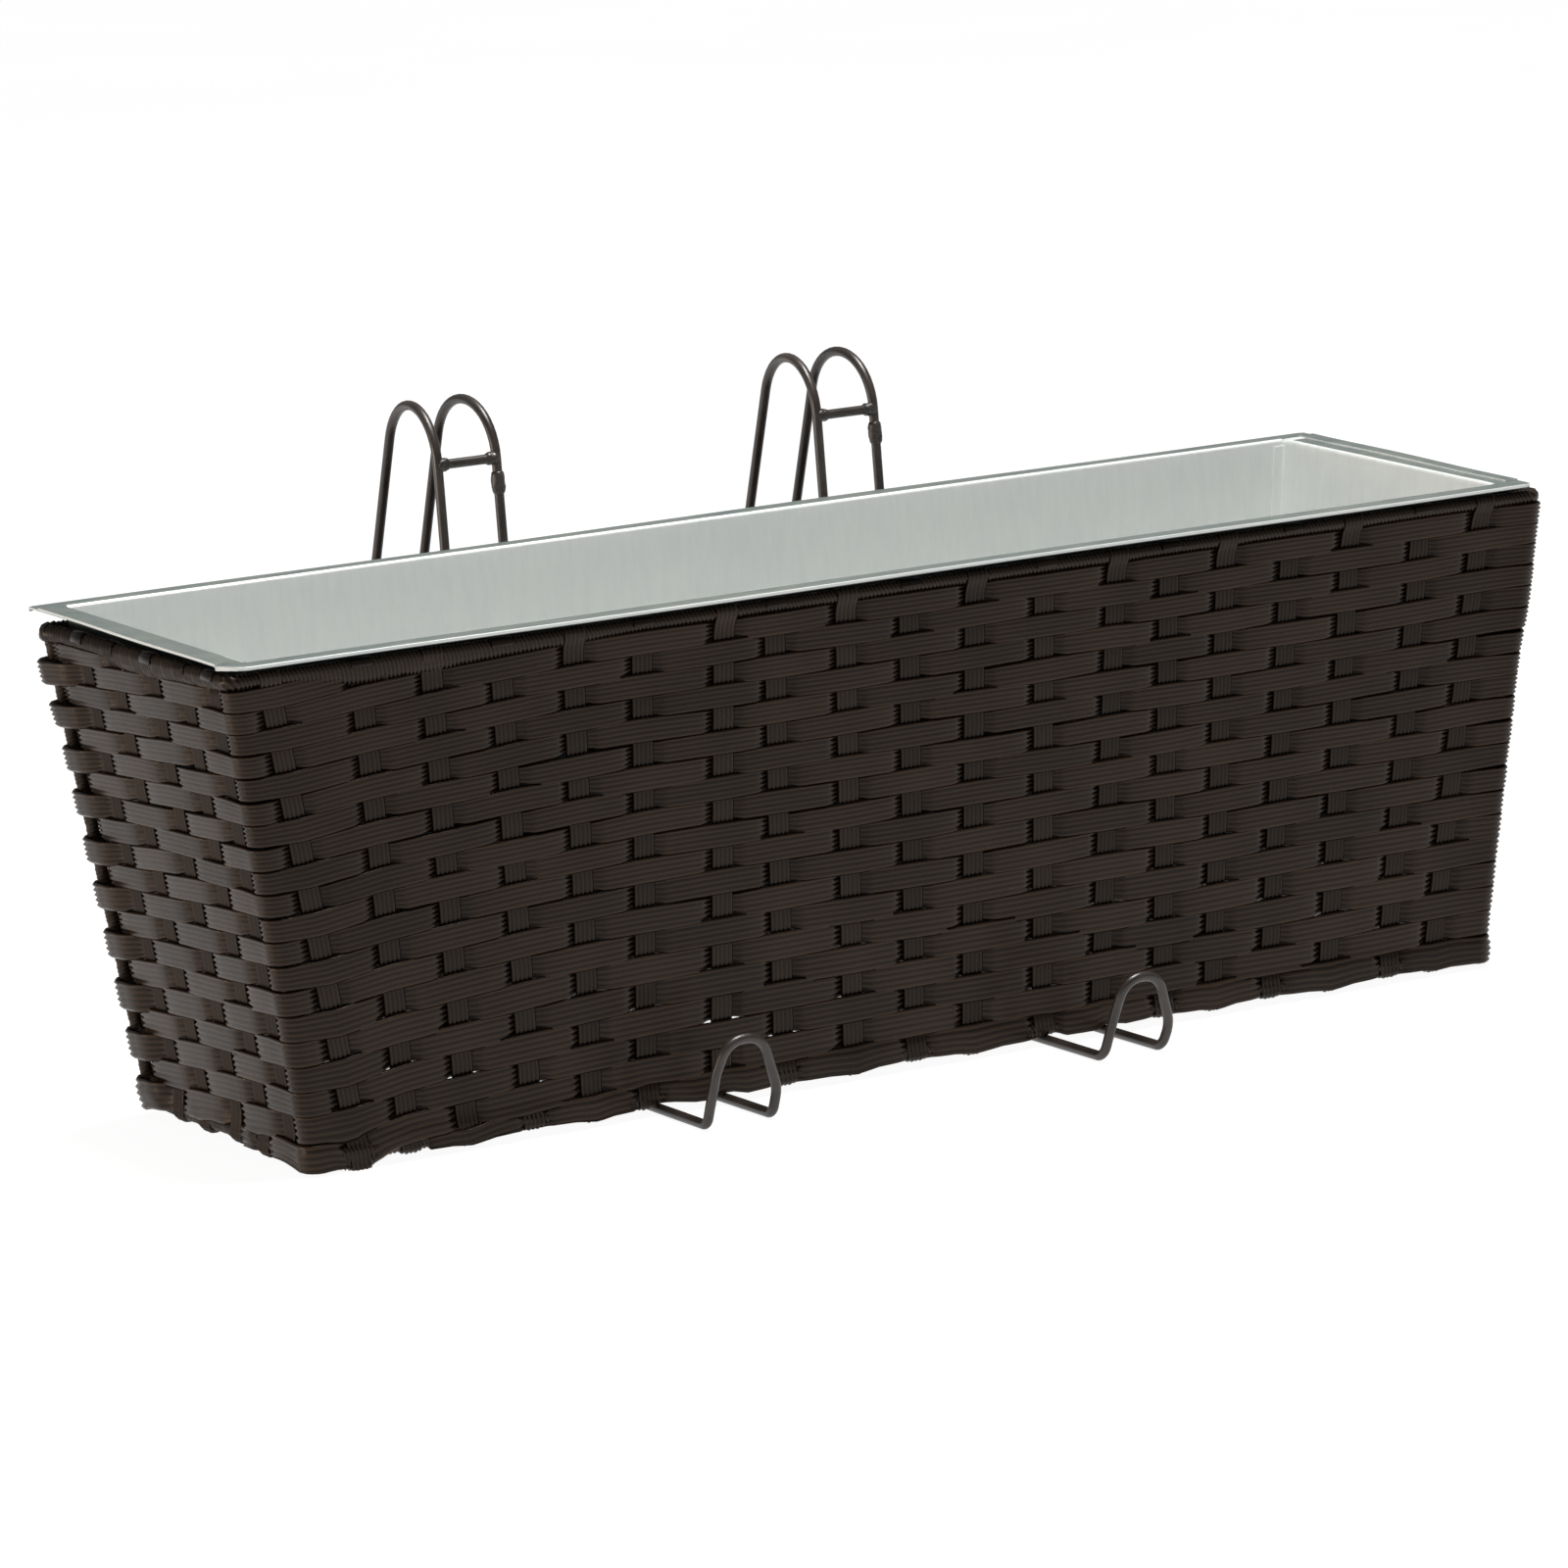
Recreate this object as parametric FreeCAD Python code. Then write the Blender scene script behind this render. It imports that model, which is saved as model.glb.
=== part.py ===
import FreeCAD, Part
import math
import os

V = FreeCAD.Vector

# ---------------------------------------------------------------------------
# Woven window box planter: a tapered basket of flat synthetic rattan on a
# steel rod frame, a folded galvanised liner that drops in from above, and two
# bent-wire railing brackets that the basket stands in.
# Row frame: X along the box, Y from the front to the back, Z up.
# Working frame of the basket: origin at the middle of its underside.
# ---------------------------------------------------------------------------

# basket, outer sizes
TOP_L, TOP_W = 600.0, 162.0        # at the rim
BOT_L, BOT_W = 545.5, 143.0        # at the base
HEIGHT = 192.0
MID_IN = 3.0                       # outer face to the middle of the weave
CORNER_R = 12.0                    # corner radius at the middle of the weave

# steel frame
ROD_D = 4.0
WRAP_T = 0.8                       # binding strand round the rails
POST_WRAP_T = 0.8                  # binding strand round the corner posts
FLOOR_BAR_X = (-200.0, 0.0, 200.0)

# weave
STRAND_T = 1.2
STAKE_W = 10.0
COURSES = 20
COURSE_GAP = 0.24
A_SIDE, A_END = 1.50, 2.00         # how far a strand stands off the middle
A_CORNER_OUT, A_CORNER_IN = 4.70, 4.50   # the same at the two back corner posts
A_TURN = 0.60                      # at the front corners every strand passes outside the post
POST_IN = 3.9                      # and the front posts stand this far inside the rails
# middles of the upright stakes at the rim and at the base; END_ is the left end, seen in the photo
FRONT_TOP = (-281.2, -242.5, -212.5, -182.5, -151.2, -121.2, -85.0, -62.5, -30.8, -1.8,
             28.8, 60.5, 95.0, 119.2, 146.8, 177.5, 206.8, 241.8, 271.8)
FRONT_BOT = (-250.0, -228.4, -203.4, -175.0, -148.9, -125.0, -92.0, -63.2, -31.8, -3.4,
             23.2, 55.7, 83.4, 112.5, 137.5, 164.1, 193.2, 222.7, 244.8)
END_TOP = (48.6, 21.1, -12.3, -40.5, -63.0)
END_BOT = (40.0, 17.1, -10.0, -32.9, -53.5)
RIGHT_TOP = (54.0, 27.0, 0.0, -27.0, -54.0)
RIGHT_BOT = (46.0, 23.0, 0.0, -23.0, -46.0)
BACK_N = 19

# liner, before it is tipped
SHEET = 0.7
FLANGE_L, FLANGE_W = 592.4, 165.4  # over the hems
WALL_L_TOP, WALL_W_TOP = 568.4, 148.0
WALL_L_BOT, WALL_W_BOT = 524.0, 123.0
LINER_RIM_Z = 192.45               # underside of the flange at the front
LINER_FLOOR_Z = 34.0
LIP_T, LIP_H = 1.5, 2.0            # closed hem along front and back
END_HEM_W = 6.0
TAB_W = 8.0
TAB_FOOT = 3.0                     # the tabs stop this far above the floor
LINER_TIP = 1.7                    # degrees: the back hem sits high against the wires
LINER_DY = 0.5

# railing brackets
WIRE_D = 4.0
RUN_Z = -2.35                      # wire middle under the basket
LEG_Y0, LEG_SLOPE = 75.2, 0.0571   # near legs: y = LEG_Y0 + slope * (z - RUN_Z)
HOOK_TOP_Z = 254.8                 # wire middle over the railing
FAR_Y_TOP, FAR_SLOPE = 127.9, 0.35
FAR_END_Z = 168.0
HOOK_R = 22.9
BAR_Z = 233.0
LEFT_X, RIGHT_X = (-117.5, -91.0), (58.5, 85.5)
FAR_PINCH = 2.2                    # each far leg stands this much further in

# how the row frame sits on the working frame
LIFT = -(RUN_Z - WIRE_D / 2.0)

os.makedirs("parts", exist_ok=True)


# ---------------------------------------------------------------- helpers
def lerp(a, b, t):
    return a + (b - a) * t


def half_x(z):
    """Half length at the middle of the weave."""
    return lerp(BOT_L, TOP_L, z / HEIGHT) / 2.0 - MID_IN


def half_y(z):
    return lerp(BOT_W, TOP_W, z / HEIGHT) / 2.0 - MID_IN


def round_path(points, radii, closed):
    """Straight runs joined by tangent arcs: [("line", a, b) or ("arc", a, b, centre, axis, angle)]."""
    n = len(points)
    corners = []
    for i in range(n):
        p = points[i]
        r = radii[i]
        if not closed and i in (0, n - 1):
            corners.append((p, p, None))
            continue
        a, b = points[(i - 1) % n], points[(i + 1) % n]
        u = (a - p).normalize()
        w = (b - p).normalize()
        cosv = max(-1.0, min(1.0, u.dot(w)))
        full = math.acos(cosv)
        turn = math.pi - full
        if turn < 1e-4 or r <= 0:
            corners.append((p, p, None))
            continue
        t = r * math.tan(turn / 2.0)
        start, end = p + u * t, p + w * t
        bis = (u + w).normalize()
        centre = p + bis * (r / math.cos(turn / 2.0))
        axis = (start - centre).cross(end - centre).normalize()
        corners.append((start, end, (centre, axis, math.degrees(turn))))
    out = []
    for i in range(n):
        start, end, arc = corners[i]
        if arc:
            out.append(("arc", start, end) + arc)
        if i < n - 1 or closed:
            nxt = corners[(i + 1) % n][0]
            if (nxt - end).Length > 1e-4:
                out.append(("line", end, nxt))
    return out


def path_length(path):
    total = 0.0
    for s in path:
        if s[0] == "line":
            total += (s[2] - s[1]).Length
        else:
            total += (s[1] - s[3]).Length * math.radians(s[5])
    return total


def pipe(path, r):
    """Round rod along a path of runs and arcs."""
    bits = []
    for s in path:
        if s[0] == "line":
            d = s[2] - s[1]
            bits.append(Part.makeCylinder(r, d.Length, s[1], d))
        else:
            _, a, b, centre, axis, angle = s
            tangent = axis.cross(a - centre)
            disc = Part.Face(Part.Wire(Part.makeCircle(r, a, tangent)))
            bits.append(disc.revolve(centre, axis, angle))
    body = bits[0].multiFuse(bits[1:]) if len(bits) > 1 else bits[0]
    body = body.removeSplitter()
    return body.Solids[0] if len(body.Solids) == 1 else body


def offset_line(points, d):
    """A closed polyline moved by d to its right-hand side, corner by corner."""
    n = len(points)
    out = []
    for i in range(n):
        p0, p, p1 = points[(i - 1) % n], points[i], points[(i + 1) % n]
        a = (p[0] - p0[0], p[1] - p0[1])
        b = (p1[0] - p[0], p1[1] - p[1])
        la, lb = math.hypot(*a), math.hypot(*b)
        na, nb = (a[1] / la, -a[0] / la), (b[1] / lb, -b[0] / lb)
        k = d / (1.0 + na[0] * nb[0] + na[1] * nb[1])
        out.append((p[0] + (na[0] + nb[0]) * k, p[1] + (na[1] + nb[1]) * k))
    return out


def wire_at(points, z):
    return Part.makePolygon([V(x, y, z) for x, y in points] + [V(points[0][0], points[0][1], z)])


def sheet_prism(points, plane, low, high):
    """Closed polygon extruded: plane "yz" along X or "xz" along Y."""
    if plane == "yz":
        pts = [V(low, a, b) for a, b in points]
        d = V(high - low, 0, 0)
    else:
        pts = [V(a, low, b) for a, b in points]
        d = V(0, high - low, 0)
    return Part.Face(Part.makePolygon(pts + [pts[0]])).extrude(d)


def group(solids):
    flat = []
    for s in solids:
        flat += s.Solids
    return flat[0] if len(flat) == 1 else Part.makeCompound(flat)


SHAPES = {}


def keep(name, shape):
    SHAPES[name] = shape


# ---------------------------------------------------------------- frame
rail_z = (HEIGHT - ROD_D / 2 - WRAP_T, ROD_D / 2 + WRAP_T)
rail_paths = []
for z in rail_z:
    hx, hy = half_x(z), half_y(z)
    pts = [V(-hx, -hy, z), V(hx, -hy, z), V(hx, hy, z), V(-hx, hy, z)]
    rail_paths.append(round_path(pts, [CORNER_R] * 4, True))
top_rail = pipe(rail_paths[0], ROD_D / 2)
bottom_rail = pipe(rail_paths[1], ROD_D / 2)


def post_point(sx, sy, z):
    reach = (CORNER_R - (POST_IN if sy < 0 else 0.0)) * math.sqrt(0.5)
    return V(sx * (half_x(z) - CORNER_R + reach), sy * (half_y(z) - CORNER_R + reach), z)


corners = [(-1, -1), (1, -1), (1, 1), (-1, 1)]
posts, wraps = [], []
for sx, sy in corners:
    a, b = post_point(sx, sy, rail_z[1]), post_point(sx, sy, rail_z[0])
    d = b - a
    posts.append(Part.makeCylinder(ROD_D / 2, d.Length, a, d))
    a, b = post_point(sx, sy, ROD_D + 2 * WRAP_T), post_point(sx, sy, HEIGHT - ROD_D - 2 * WRAP_T)
    d = b - a
    wraps.append(Part.makeCylinder(ROD_D / 2 + POST_WRAP_T, d.Length, a, d))
bars = []
for x in FLOOR_BAR_X:
    y = half_y(rail_z[1])
    bars.append(Part.makeCylinder(ROD_D / 2, 2 * y, V(x, -y, rail_z[1]), V(0, 1, 0)))

rim_tube = pipe(rail_paths[0], ROD_D / 2 + WRAP_T)
base_tube = pipe(rail_paths[1], ROD_D / 2 + WRAP_T)
rim_binding = rim_tube.cut(top_rail)
base_binding = base_tube.cut(bottom_rail)
for p in posts:
    rim_binding = rim_binding.cut(p)
    base_binding = base_binding.cut(p)
for b in bars:
    base_binding = base_binding.cut(b)
wraps = [w.cut(p).cut(rim_tube).cut(base_tube) for w, p in zip(wraps, posts)]
posts = [p.cut(top_rail).cut(bottom_rail) for p in posts]
bars = [b.cut(bottom_rail) for b in bars]


def biggest(shape):
    return max(shape.Solids, key=lambda s: s.Volume)


keep("frame_top_rail", top_rail)
keep("frame_bottom_rail", bottom_rail)
keep("frame_corner_posts", group([biggest(p) for p in posts]))
keep("frame_floor_bars", group([biggest(b) for b in bars]))
keep("corner_post_wraps", group([biggest(w) for w in wraps]))
keep("rim_binding", biggest(rim_binding))
keep("base_binding", biggest(base_binding))

# ---------------------------------------------------------------- stakes
z_lo, z_hi = ROD_D + 2 * WRAP_T, HEIGHT - ROD_D - 2 * WRAP_T


def back_xs(top):
    ends = (FRONT_TOP[-1], FRONT_BOT[-1])
    e = ends[0] if top else ends[1]
    return [lerp(e, -e, i / (BACK_N - 1.0)) for i in range(BACK_N)]


def stake(side, at_top, at_base):
    """One flat upright strand between the two bindings."""
    def pos(c, z):
        return {"front": (c, -half_y(z)), "back": (c, half_y(z)),
                "left": (-half_x(z), c), "right": (half_x(z), c)}[side]

    def along(z):
        return lerp(at_base, at_top, z / HEIGHT)

    x0, y0 = pos(along(z_lo), z_lo)
    x1, y1 = pos(along(z_hi), z_hi)
    w, t = (STAKE_W / 2, STRAND_T / 2) if side in ("front", "back") else (STRAND_T / 2, STAKE_W / 2)
    face = Part.Face(Part.makePolygon([V(x0 - w, y0 - t, z_lo), V(x0 + w, y0 - t, z_lo),
                                       V(x0 + w, y0 + t, z_lo), V(x0 - w, y0 + t, z_lo),
                                       V(x0 - w, y0 - t, z_lo)]))
    return face.extrude(V(x1 - x0, y1 - y0, z_hi - z_lo))


back_top, back_bot = back_xs(True), back_xs(False)
keep("stakes_front", group([stake("front", a, b) for a, b in zip(FRONT_TOP, FRONT_BOT)]))
keep("stakes_back", group([stake("back", a, b) for a, b in zip(back_top, back_bot)]))
keep("stakes_left", group([stake("left", a, b) for a, b in zip(END_TOP, END_BOT)]))
keep("stakes_right", group([stake("right", a, b) for a, b in zip(RIGHT_TOP, RIGHT_BOT)]))

# ---------------------------------------------------------------- weft courses
# once round the basket: corner, front, corner, right end, corner, back, corner, left end
pitch = (z_hi - z_lo) / COURSES


def course(k):
    """Course k, counted from the rim: it passes in front of one upright and behind the next."""
    z0 = z_hi - (k + 1) * pitch + COURSE_GAP / 2
    z1 = z_hi - k * pitch - COURSE_GAP / 2
    zc = (z0 + z1) / 2
    t = zc / HEIGHT
    hx, hy = half_x(zc), half_y(zc)
    m = STAKE_W / 2 + 1.0
    pts = []
    j = 1

    def sign():
        return 1.0 if (j + k) % 2 else -1.0

    def corner(cx, cy, start):
        d = CORNER_R + (A_CORNER_OUT if sign() > 0 else -A_CORNER_IN)
        for g in (25.0, 45.0, 65.0):
            a = math.radians(start + g)
            pts.append((cx + d * math.cos(a), cy + d * math.sin(a)))

    def turn(cx, cy, start, steps):
        for g in steps:
            a = math.radians(start + g)
            pts.append((cx + (CORNER_R + A_TURN) * math.cos(a), cy + (CORNER_R + A_TURN) * math.sin(a)))

    turn(-hx + CORNER_R, -hy + CORNER_R, 180.0, (35.0, 48.0, 62.0))
    for a, b in zip(FRONT_TOP, FRONT_BOT):
        x, y = lerp(b, a, t), -hy - sign() * A_SIDE
        pts += [(max(x - m, -hx + CORNER_R - 2.5), y), (x + m, y)]
        j += 1
    turn(hx - CORNER_R, -hy + CORNER_R, 270.0, (12.0, 34.0, 56.0, 78.0))
    for a, b in reversed(list(zip(RIGHT_TOP, RIGHT_BOT))):
        x, y = hx + sign() * A_END, lerp(b, a, t)
        pts += [(x, y - m), (x, y + m)]
        j += 1
    corner(hx - CORNER_R, hy - CORNER_R, 0.0)
    j += 1
    for a, b in zip(back_top, back_bot):
        x, y = lerp(b, a, t), hy + sign() * A_SIDE
        pts += [(x + m, y), (x - m, y)]
        j += 1
    corner(-hx + CORNER_R, hy - CORNER_R, 90.0)
    j += 1
    for a, b in zip(END_TOP, END_BOT):
        x, y = -hx - sign() * A_END, lerp(b, a, t)
        pts += [(x, y + m), (x, max(y - m, -hy + CORNER_R - 2.5))]
        j += 1
    up = V(0, 0, z1 - z0)
    outer = Part.Face(wire_at(offset_line(pts, STRAND_T / 2), z0)).extrude(up)
    inner = Part.Face(wire_at(offset_line(pts, -STRAND_T / 2), z0 - 1.0)).extrude(up + V(0, 0, 2.0))
    return biggest(outer.cut(inner))


for k in range(COURSES):
    keep("weft_course_%02d" % (k + 1), course(k))

# ---------------------------------------------------------------- liner
fl, fw = FLANGE_L / 2, FLANGE_W / 2
wt, wb = WALL_W_TOP / 2, WALL_W_BOT / 2
lt, lb = WALL_L_TOP / 2, WALL_L_BOT / 2
zr, zf = LINER_RIM_Z, LINER_FLOOR_Z
zt = zr + SHEET


def wall_x(z):
    return lerp(lb, lt, (z - zf) / (zr - zf))


def wall_y(z):
    return lerp(wb, wt, (z - zf) / (zr - zf))


profile = [(-fw, zt), (-fw, zr - LIP_H), (-fw + LIP_T, zr - LIP_H), (-fw + LIP_T, zr),
           (-wt, zr), (-wb, zf), (wb, zf), (wt, zr),
           (fw - LIP_T, zr), (fw - LIP_T, zr - LIP_H), (fw, zr - LIP_H), (fw, zt),
           (wt - SHEET, zt), (wb - SHEET, zf + SHEET), (-wb + SHEET, zf + SHEET), (-wt + SHEET, zt)]
trough = sheet_prism(profile, "yz", -fl, fl)
for s in (-1, 1):
    wedge = [(s * (wall_x(zr) - SHEET), zr), (s * (fl + 5), zr), (s * (fl + 5), zf - 5),
             (s * (wall_x(zf - 5) - SHEET), zf - 5)]
    off = sheet_prism(wedge, "xz", -wt - 0.01, wt + 0.01)
    trough = trough.cut(off)
keep("liner_trough", biggest(trough))

outside = sheet_prism([(-wt, zr), (-wb, zf), (wb, zf), (wt, zr)], "yz", -fl, fl)
cavity = sheet_prism([(-wt + SHEET, zt), (-wb + SHEET, zf + SHEET), (wb - SHEET, zf + SHEET), (wt - SHEET, zt)],
                     "yz", -fl, fl)
inside = sheet_prism([(-(wt - 2 * SHEET), zt), (-(wb - 2 * SHEET), zf), (wb - 2 * SHEET, zf), (wt - 2 * SHEET, zt)],
                     "yz", -fl, fl)


def liner_end(s):
    """Sloped end wall with its flange, hem and the two tabs folded along the long walls."""
    plate = sheet_prism([(s * wall_x(zr), zr), (s * wall_x(zf), zf),
                         (s * (wall_x(zf) - SHEET), zf), (s * (wall_x(zr) - SHEET), zr)], "xz", -wt, wt)
    plate = plate.common(outside)
    low, high = sorted((s * (wall_x(zr) - SHEET), s * fl))
    flange = Part.makeBox(high - low, 2 * (wt - SHEET), SHEET, V(low, -(wt - SHEET), zr))
    low, high = sorted((s * (fl - END_HEM_W), s * fl))
    hem = Part.makeBox(high - low, 2 * (wt - SHEET), SHEET, V(low, -(wt - SHEET), zt))
    z1 = zr - 0.5
    z0 = zf + SHEET + TAB_FOOT
    slab = sheet_prism([(s * (wall_x(z1) - SHEET / 2), z1), (s * (wall_x(z0) - SHEET / 2), z0),
                        (s * (wall_x(z0) - SHEET - TAB_W), z0), (s * (wall_x(z1) - SHEET - TAB_W), z1)],
                       "xz", -wt, wt)
    tabs = slab.common(cavity.cut(inside))
    body = plate.multiFuse([flange, hem, tabs]).removeSplitter()
    return body


keep("liner_end_left", biggest(liner_end(-1)))
keep("liner_end_right", biggest(liner_end(1)))

tip = FreeCAD.Placement(V(0, LINER_DY, 0), FreeCAD.Rotation(V(1, 0, 0), LINER_TIP), V(0, -fw, zr))
for name in ("liner_trough", "liner_end_left", "liner_end_right"):
    s = SHAPES[name].copy()
    s.transformShape(tip.toMatrix(), False, False)
    SHAPES[name] = s
floor_mid = tip.multVec(V(0, 0, zf + SHEET))


# ---------------------------------------------------------------- brackets
def leg_y(z):
    return LEG_Y0 + LEG_SLOPE * (z - RUN_Z)


def far_y(z):
    return FAR_Y_TOP + FAR_SLOPE * (HOOK_TOP_Z - z)


def bracket(name, xs, front, seam_side):
    """One bent wire: front loop, two runs under the basket, near legs, hooks over the railing, far end."""
    xl, xr = xs
    fl_x, fr_x = xl + FAR_PINCH, xr - FAR_PINCH
    pts, radii = [], []

    def add(x, y, z, r):
        pts.append(V(x, y, z))
        radii.append(r)

    for q in front:
        add(*q)
    add(xr, LEG_Y0, RUN_Z, 5.0)
    add(xr, leg_y(HOOK_TOP_Z), HOOK_TOP_Z, HOOK_R)
    add(fr_x, FAR_Y_TOP, HOOK_TOP_Z, HOOK_R)
    add(fr_x, far_y(FAR_END_Z), FAR_END_Z, 9.0)
    add(fl_x, far_y(FAR_END_Z), FAR_END_Z, 9.0)
    add(fl_x, FAR_Y_TOP, HOOK_TOP_Z, HOOK_R)
    add(xl, leg_y(HOOK_TOP_Z), HOOK_TOP_Z, HOOK_R)
    add(xl, LEG_Y0, RUN_Z, 5.0)
    path = round_path(pts, radii, True)
    wire = pipe(path, WIRE_D / 2)
    length = path_length(path)
    want = math.pi * (WIRE_D / 2) ** 2 * length
    print("%s: %.0f mm of wire, volume %.0f of %.0f mm3" % (name, length, wire.Volume, want))
    y = leg_y(BAR_Z)
    leg = []
    for x in (xl, xr):
        a, b = V(x, leg_y(BAR_Z - 30), BAR_Z - 30), V(x, leg_y(BAR_Z + 8), BAR_Z + 8)
        leg.append(Part.makeCylinder(WIRE_D / 2, (b - a).Length, a, b - a))
    bar = Part.makeCylinder(WIRE_D / 2, xr - xl, V(xl, y, BAR_Z), V(1, 0, 0))
    bar_cut = biggest(bar.cut(wire))
    beads = []
    for x, s in ((xl, 1), (xr, -1)):
        cone = Part.makeCone(3.1, 2.0, 3.4, V(x + s * 1.4, y, BAR_Z), V(s, 0, 0))
        beads.append(biggest(cone.cut(bar).cut(wire)))
    # the wire's two ends meet in a bead on one near leg, just under the bar
    x = xr if seam_side > 0 else xl
    zj = BAR_Z - 9.0
    a = V(x, leg_y(zj - 5), zj - 5)
    axis = V(0, LEG_SLOPE, 1).normalize()
    j1 = Part.makeCone(2.05, 2.9, 4.0, a, axis)
    j2 = Part.makeCone(2.9, 2.05, 4.0, a + axis * 4.0, axis)
    joint = j1.fuse(j2).cut(wire)
    beads.append(biggest(joint))
    keep(name + "_wire", wire)
    keep(name + "_crossbar", bar_cut)
    keep(name + "_welds", group(beads))


# front loops, from the left foot over the arch to the right foot
LOOP_LEFT = [(-119.6, -106.0, RUN_Z, 3.4), (-116.6, -109.6, 18.0, 14.0), (-112.2, -112.2, 30.6, 9.5),
             (-97.0, -112.0, 30.4, 9.5), (-89.2, -108.2, 8.0, 16.0), (-90.6, -106.0, RUN_Z, 4.0)]
LOOP_RIGHT = [(57.4, -111.5, RUN_Z, 5.4), (61.4, -114.6, 15.0, 16.0), (65.0, -118.0, 29.3, 9.5),
              (80.6, -117.6, 28.4, 9.5), (87.4, -113.6, 7.0, 16.0), (84.9, -111.0, RUN_Z, 5.0)]
bracket("hook_left", LEFT_X, LOOP_LEFT, 1)
bracket("hook_right", RIGHT_X, LOOP_RIGHT, 1)

# ---------------------------------------------------------------- row frame
cloud = [v for s in SHAPES.values() for v in s.tessellate(0.05)[0]]
low = V(min(v.x for v in cloud), min(v.y for v in cloud), min(v.z for v in cloud))
high = V(max(v.x for v in cloud), max(v.y for v in cloud), max(v.z for v in cloud))
shift = V(-(low.x + high.x) / 2, -(low.y + high.y) / 2, LIFT)
print("box", [round(c, 3) for c in high - low], "low", [round(c, 3) for c in low])
print("shift", [round(c, 4) for c in shift])
print("liner floor middle", [round(c, 4) for c in floor_mid + shift])
for name, shape in SHAPES.items():
    out = shape.copy()
    out.translate(shift)
    bad = [s for s in out.Solids if not s.isValid() or s.Volume < 0]
    b = out.BoundBox
    print("%-22s solids %2d vol %9.1f %s [%.1f %.1f %.1f] [%.1f %.1f %.1f]" % (
        name, len(out.Solids), sum(s.Volume for s in out.Solids), "BAD" if bad else "ok",
        b.XMin, b.YMin, b.ZMin, b.XMax, b.YMax, b.ZMax))
    out.exportStep("parts/%s.step" % name)
print("nodes", len(SHAPES))
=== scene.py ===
import math

import bpy
import numpy as np
from mathutils import Matrix, Vector


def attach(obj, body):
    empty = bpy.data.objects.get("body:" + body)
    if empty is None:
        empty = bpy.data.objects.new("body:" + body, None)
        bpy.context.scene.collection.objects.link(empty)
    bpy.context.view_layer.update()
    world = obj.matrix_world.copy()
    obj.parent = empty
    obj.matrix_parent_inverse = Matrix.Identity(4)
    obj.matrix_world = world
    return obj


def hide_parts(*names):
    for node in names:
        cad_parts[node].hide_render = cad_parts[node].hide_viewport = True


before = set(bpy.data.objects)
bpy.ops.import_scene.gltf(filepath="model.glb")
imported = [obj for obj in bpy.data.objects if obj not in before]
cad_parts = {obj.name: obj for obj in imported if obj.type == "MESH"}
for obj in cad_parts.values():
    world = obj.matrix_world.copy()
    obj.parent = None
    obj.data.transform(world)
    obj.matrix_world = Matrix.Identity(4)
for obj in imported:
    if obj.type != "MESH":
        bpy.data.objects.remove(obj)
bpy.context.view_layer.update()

# ---------------------------------------------------------------------------
# Working numbers are millimetres in the basket's own frame (origin at the
# middle of the wicker underside); row() turns them into metres in the row frame.
# ---------------------------------------------------------------------------
SHIFT = np.array([0.0, -20.235, 4.35])


def row(points):
    return (np.asarray(points, float) + SHIFT) * 0.001


TOP_L, TOP_W, BOT_L, BOT_W, HEIGHT = 600.0, 162.0, 545.5, 143.0, 192.0
MID_IN, CORNER_R = 3.0, 3.4
RAIL_TOP_Z, RAIL_BOT_Z = 189.2, 2.8
FRONT_TOP = (-281.2, -242.5, -212.5, -182.5, -151.2, -121.2, -85.0, -62.5, -30.8, -1.8,
             28.8, 60.5, 95.0, 119.2, 146.8, 177.5, 206.8, 241.8, 271.8)
FRONT_BOT = (-250.0, -228.4, -203.4, -175.0, -148.9, -125.0, -92.0, -63.2, -31.8, -3.4,
             23.2, 55.7, 83.4, 112.5, 137.5, 164.1, 193.2, 222.7, 244.8)
LEFT_TOP = (48.6, 21.1, -12.3, -40.5, -64.0)
LEFT_BOT = (40.0, 17.1, -10.0, -32.9, -54.0)
RIGHT_TOP = (54.0, 27.0, 0.0, -27.0, -54.0)
RIGHT_BOT = (46.0, 23.0, 0.0, -23.0, -46.0)
BACK_N = 19


def lerp(a, b, t):
    return a + (b - a) * t


def half_x(z):
    return lerp(BOT_L, TOP_L, z / HEIGHT) / 2.0 - MID_IN


def half_y(z):
    return lerp(BOT_W, TOP_W, z / HEIGHT) / 2.0 - MID_IN


def smooth(t):
    t = np.clip(t, 0.0, 1.0)
    return t * t * (3.0 - 2.0 * t)


# ------------------------------------------------------------ round the basket
# s runs counter-clockwise seen from above, from the middle of the front left corner
def marks(z):
    """Where the straight runs and the corner arcs begin at height z."""
    r, hx, hy = CORNER_R, half_x(z), half_y(z)
    q = math.pi * r / 2.0
    f0 = q / 2.0
    f1 = f0 + 2 * hx - 2 * r
    r0 = f1 + q
    r1 = r0 + 2 * hy - 2 * r
    b0 = r1 + q
    b1 = b0 + 2 * hx - 2 * r
    l0 = b1 + q
    l1 = l0 + 2 * hy - 2 * r
    return f0, f1, r0, r1, b0, b1, l0, l1, l1 + f0


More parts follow.
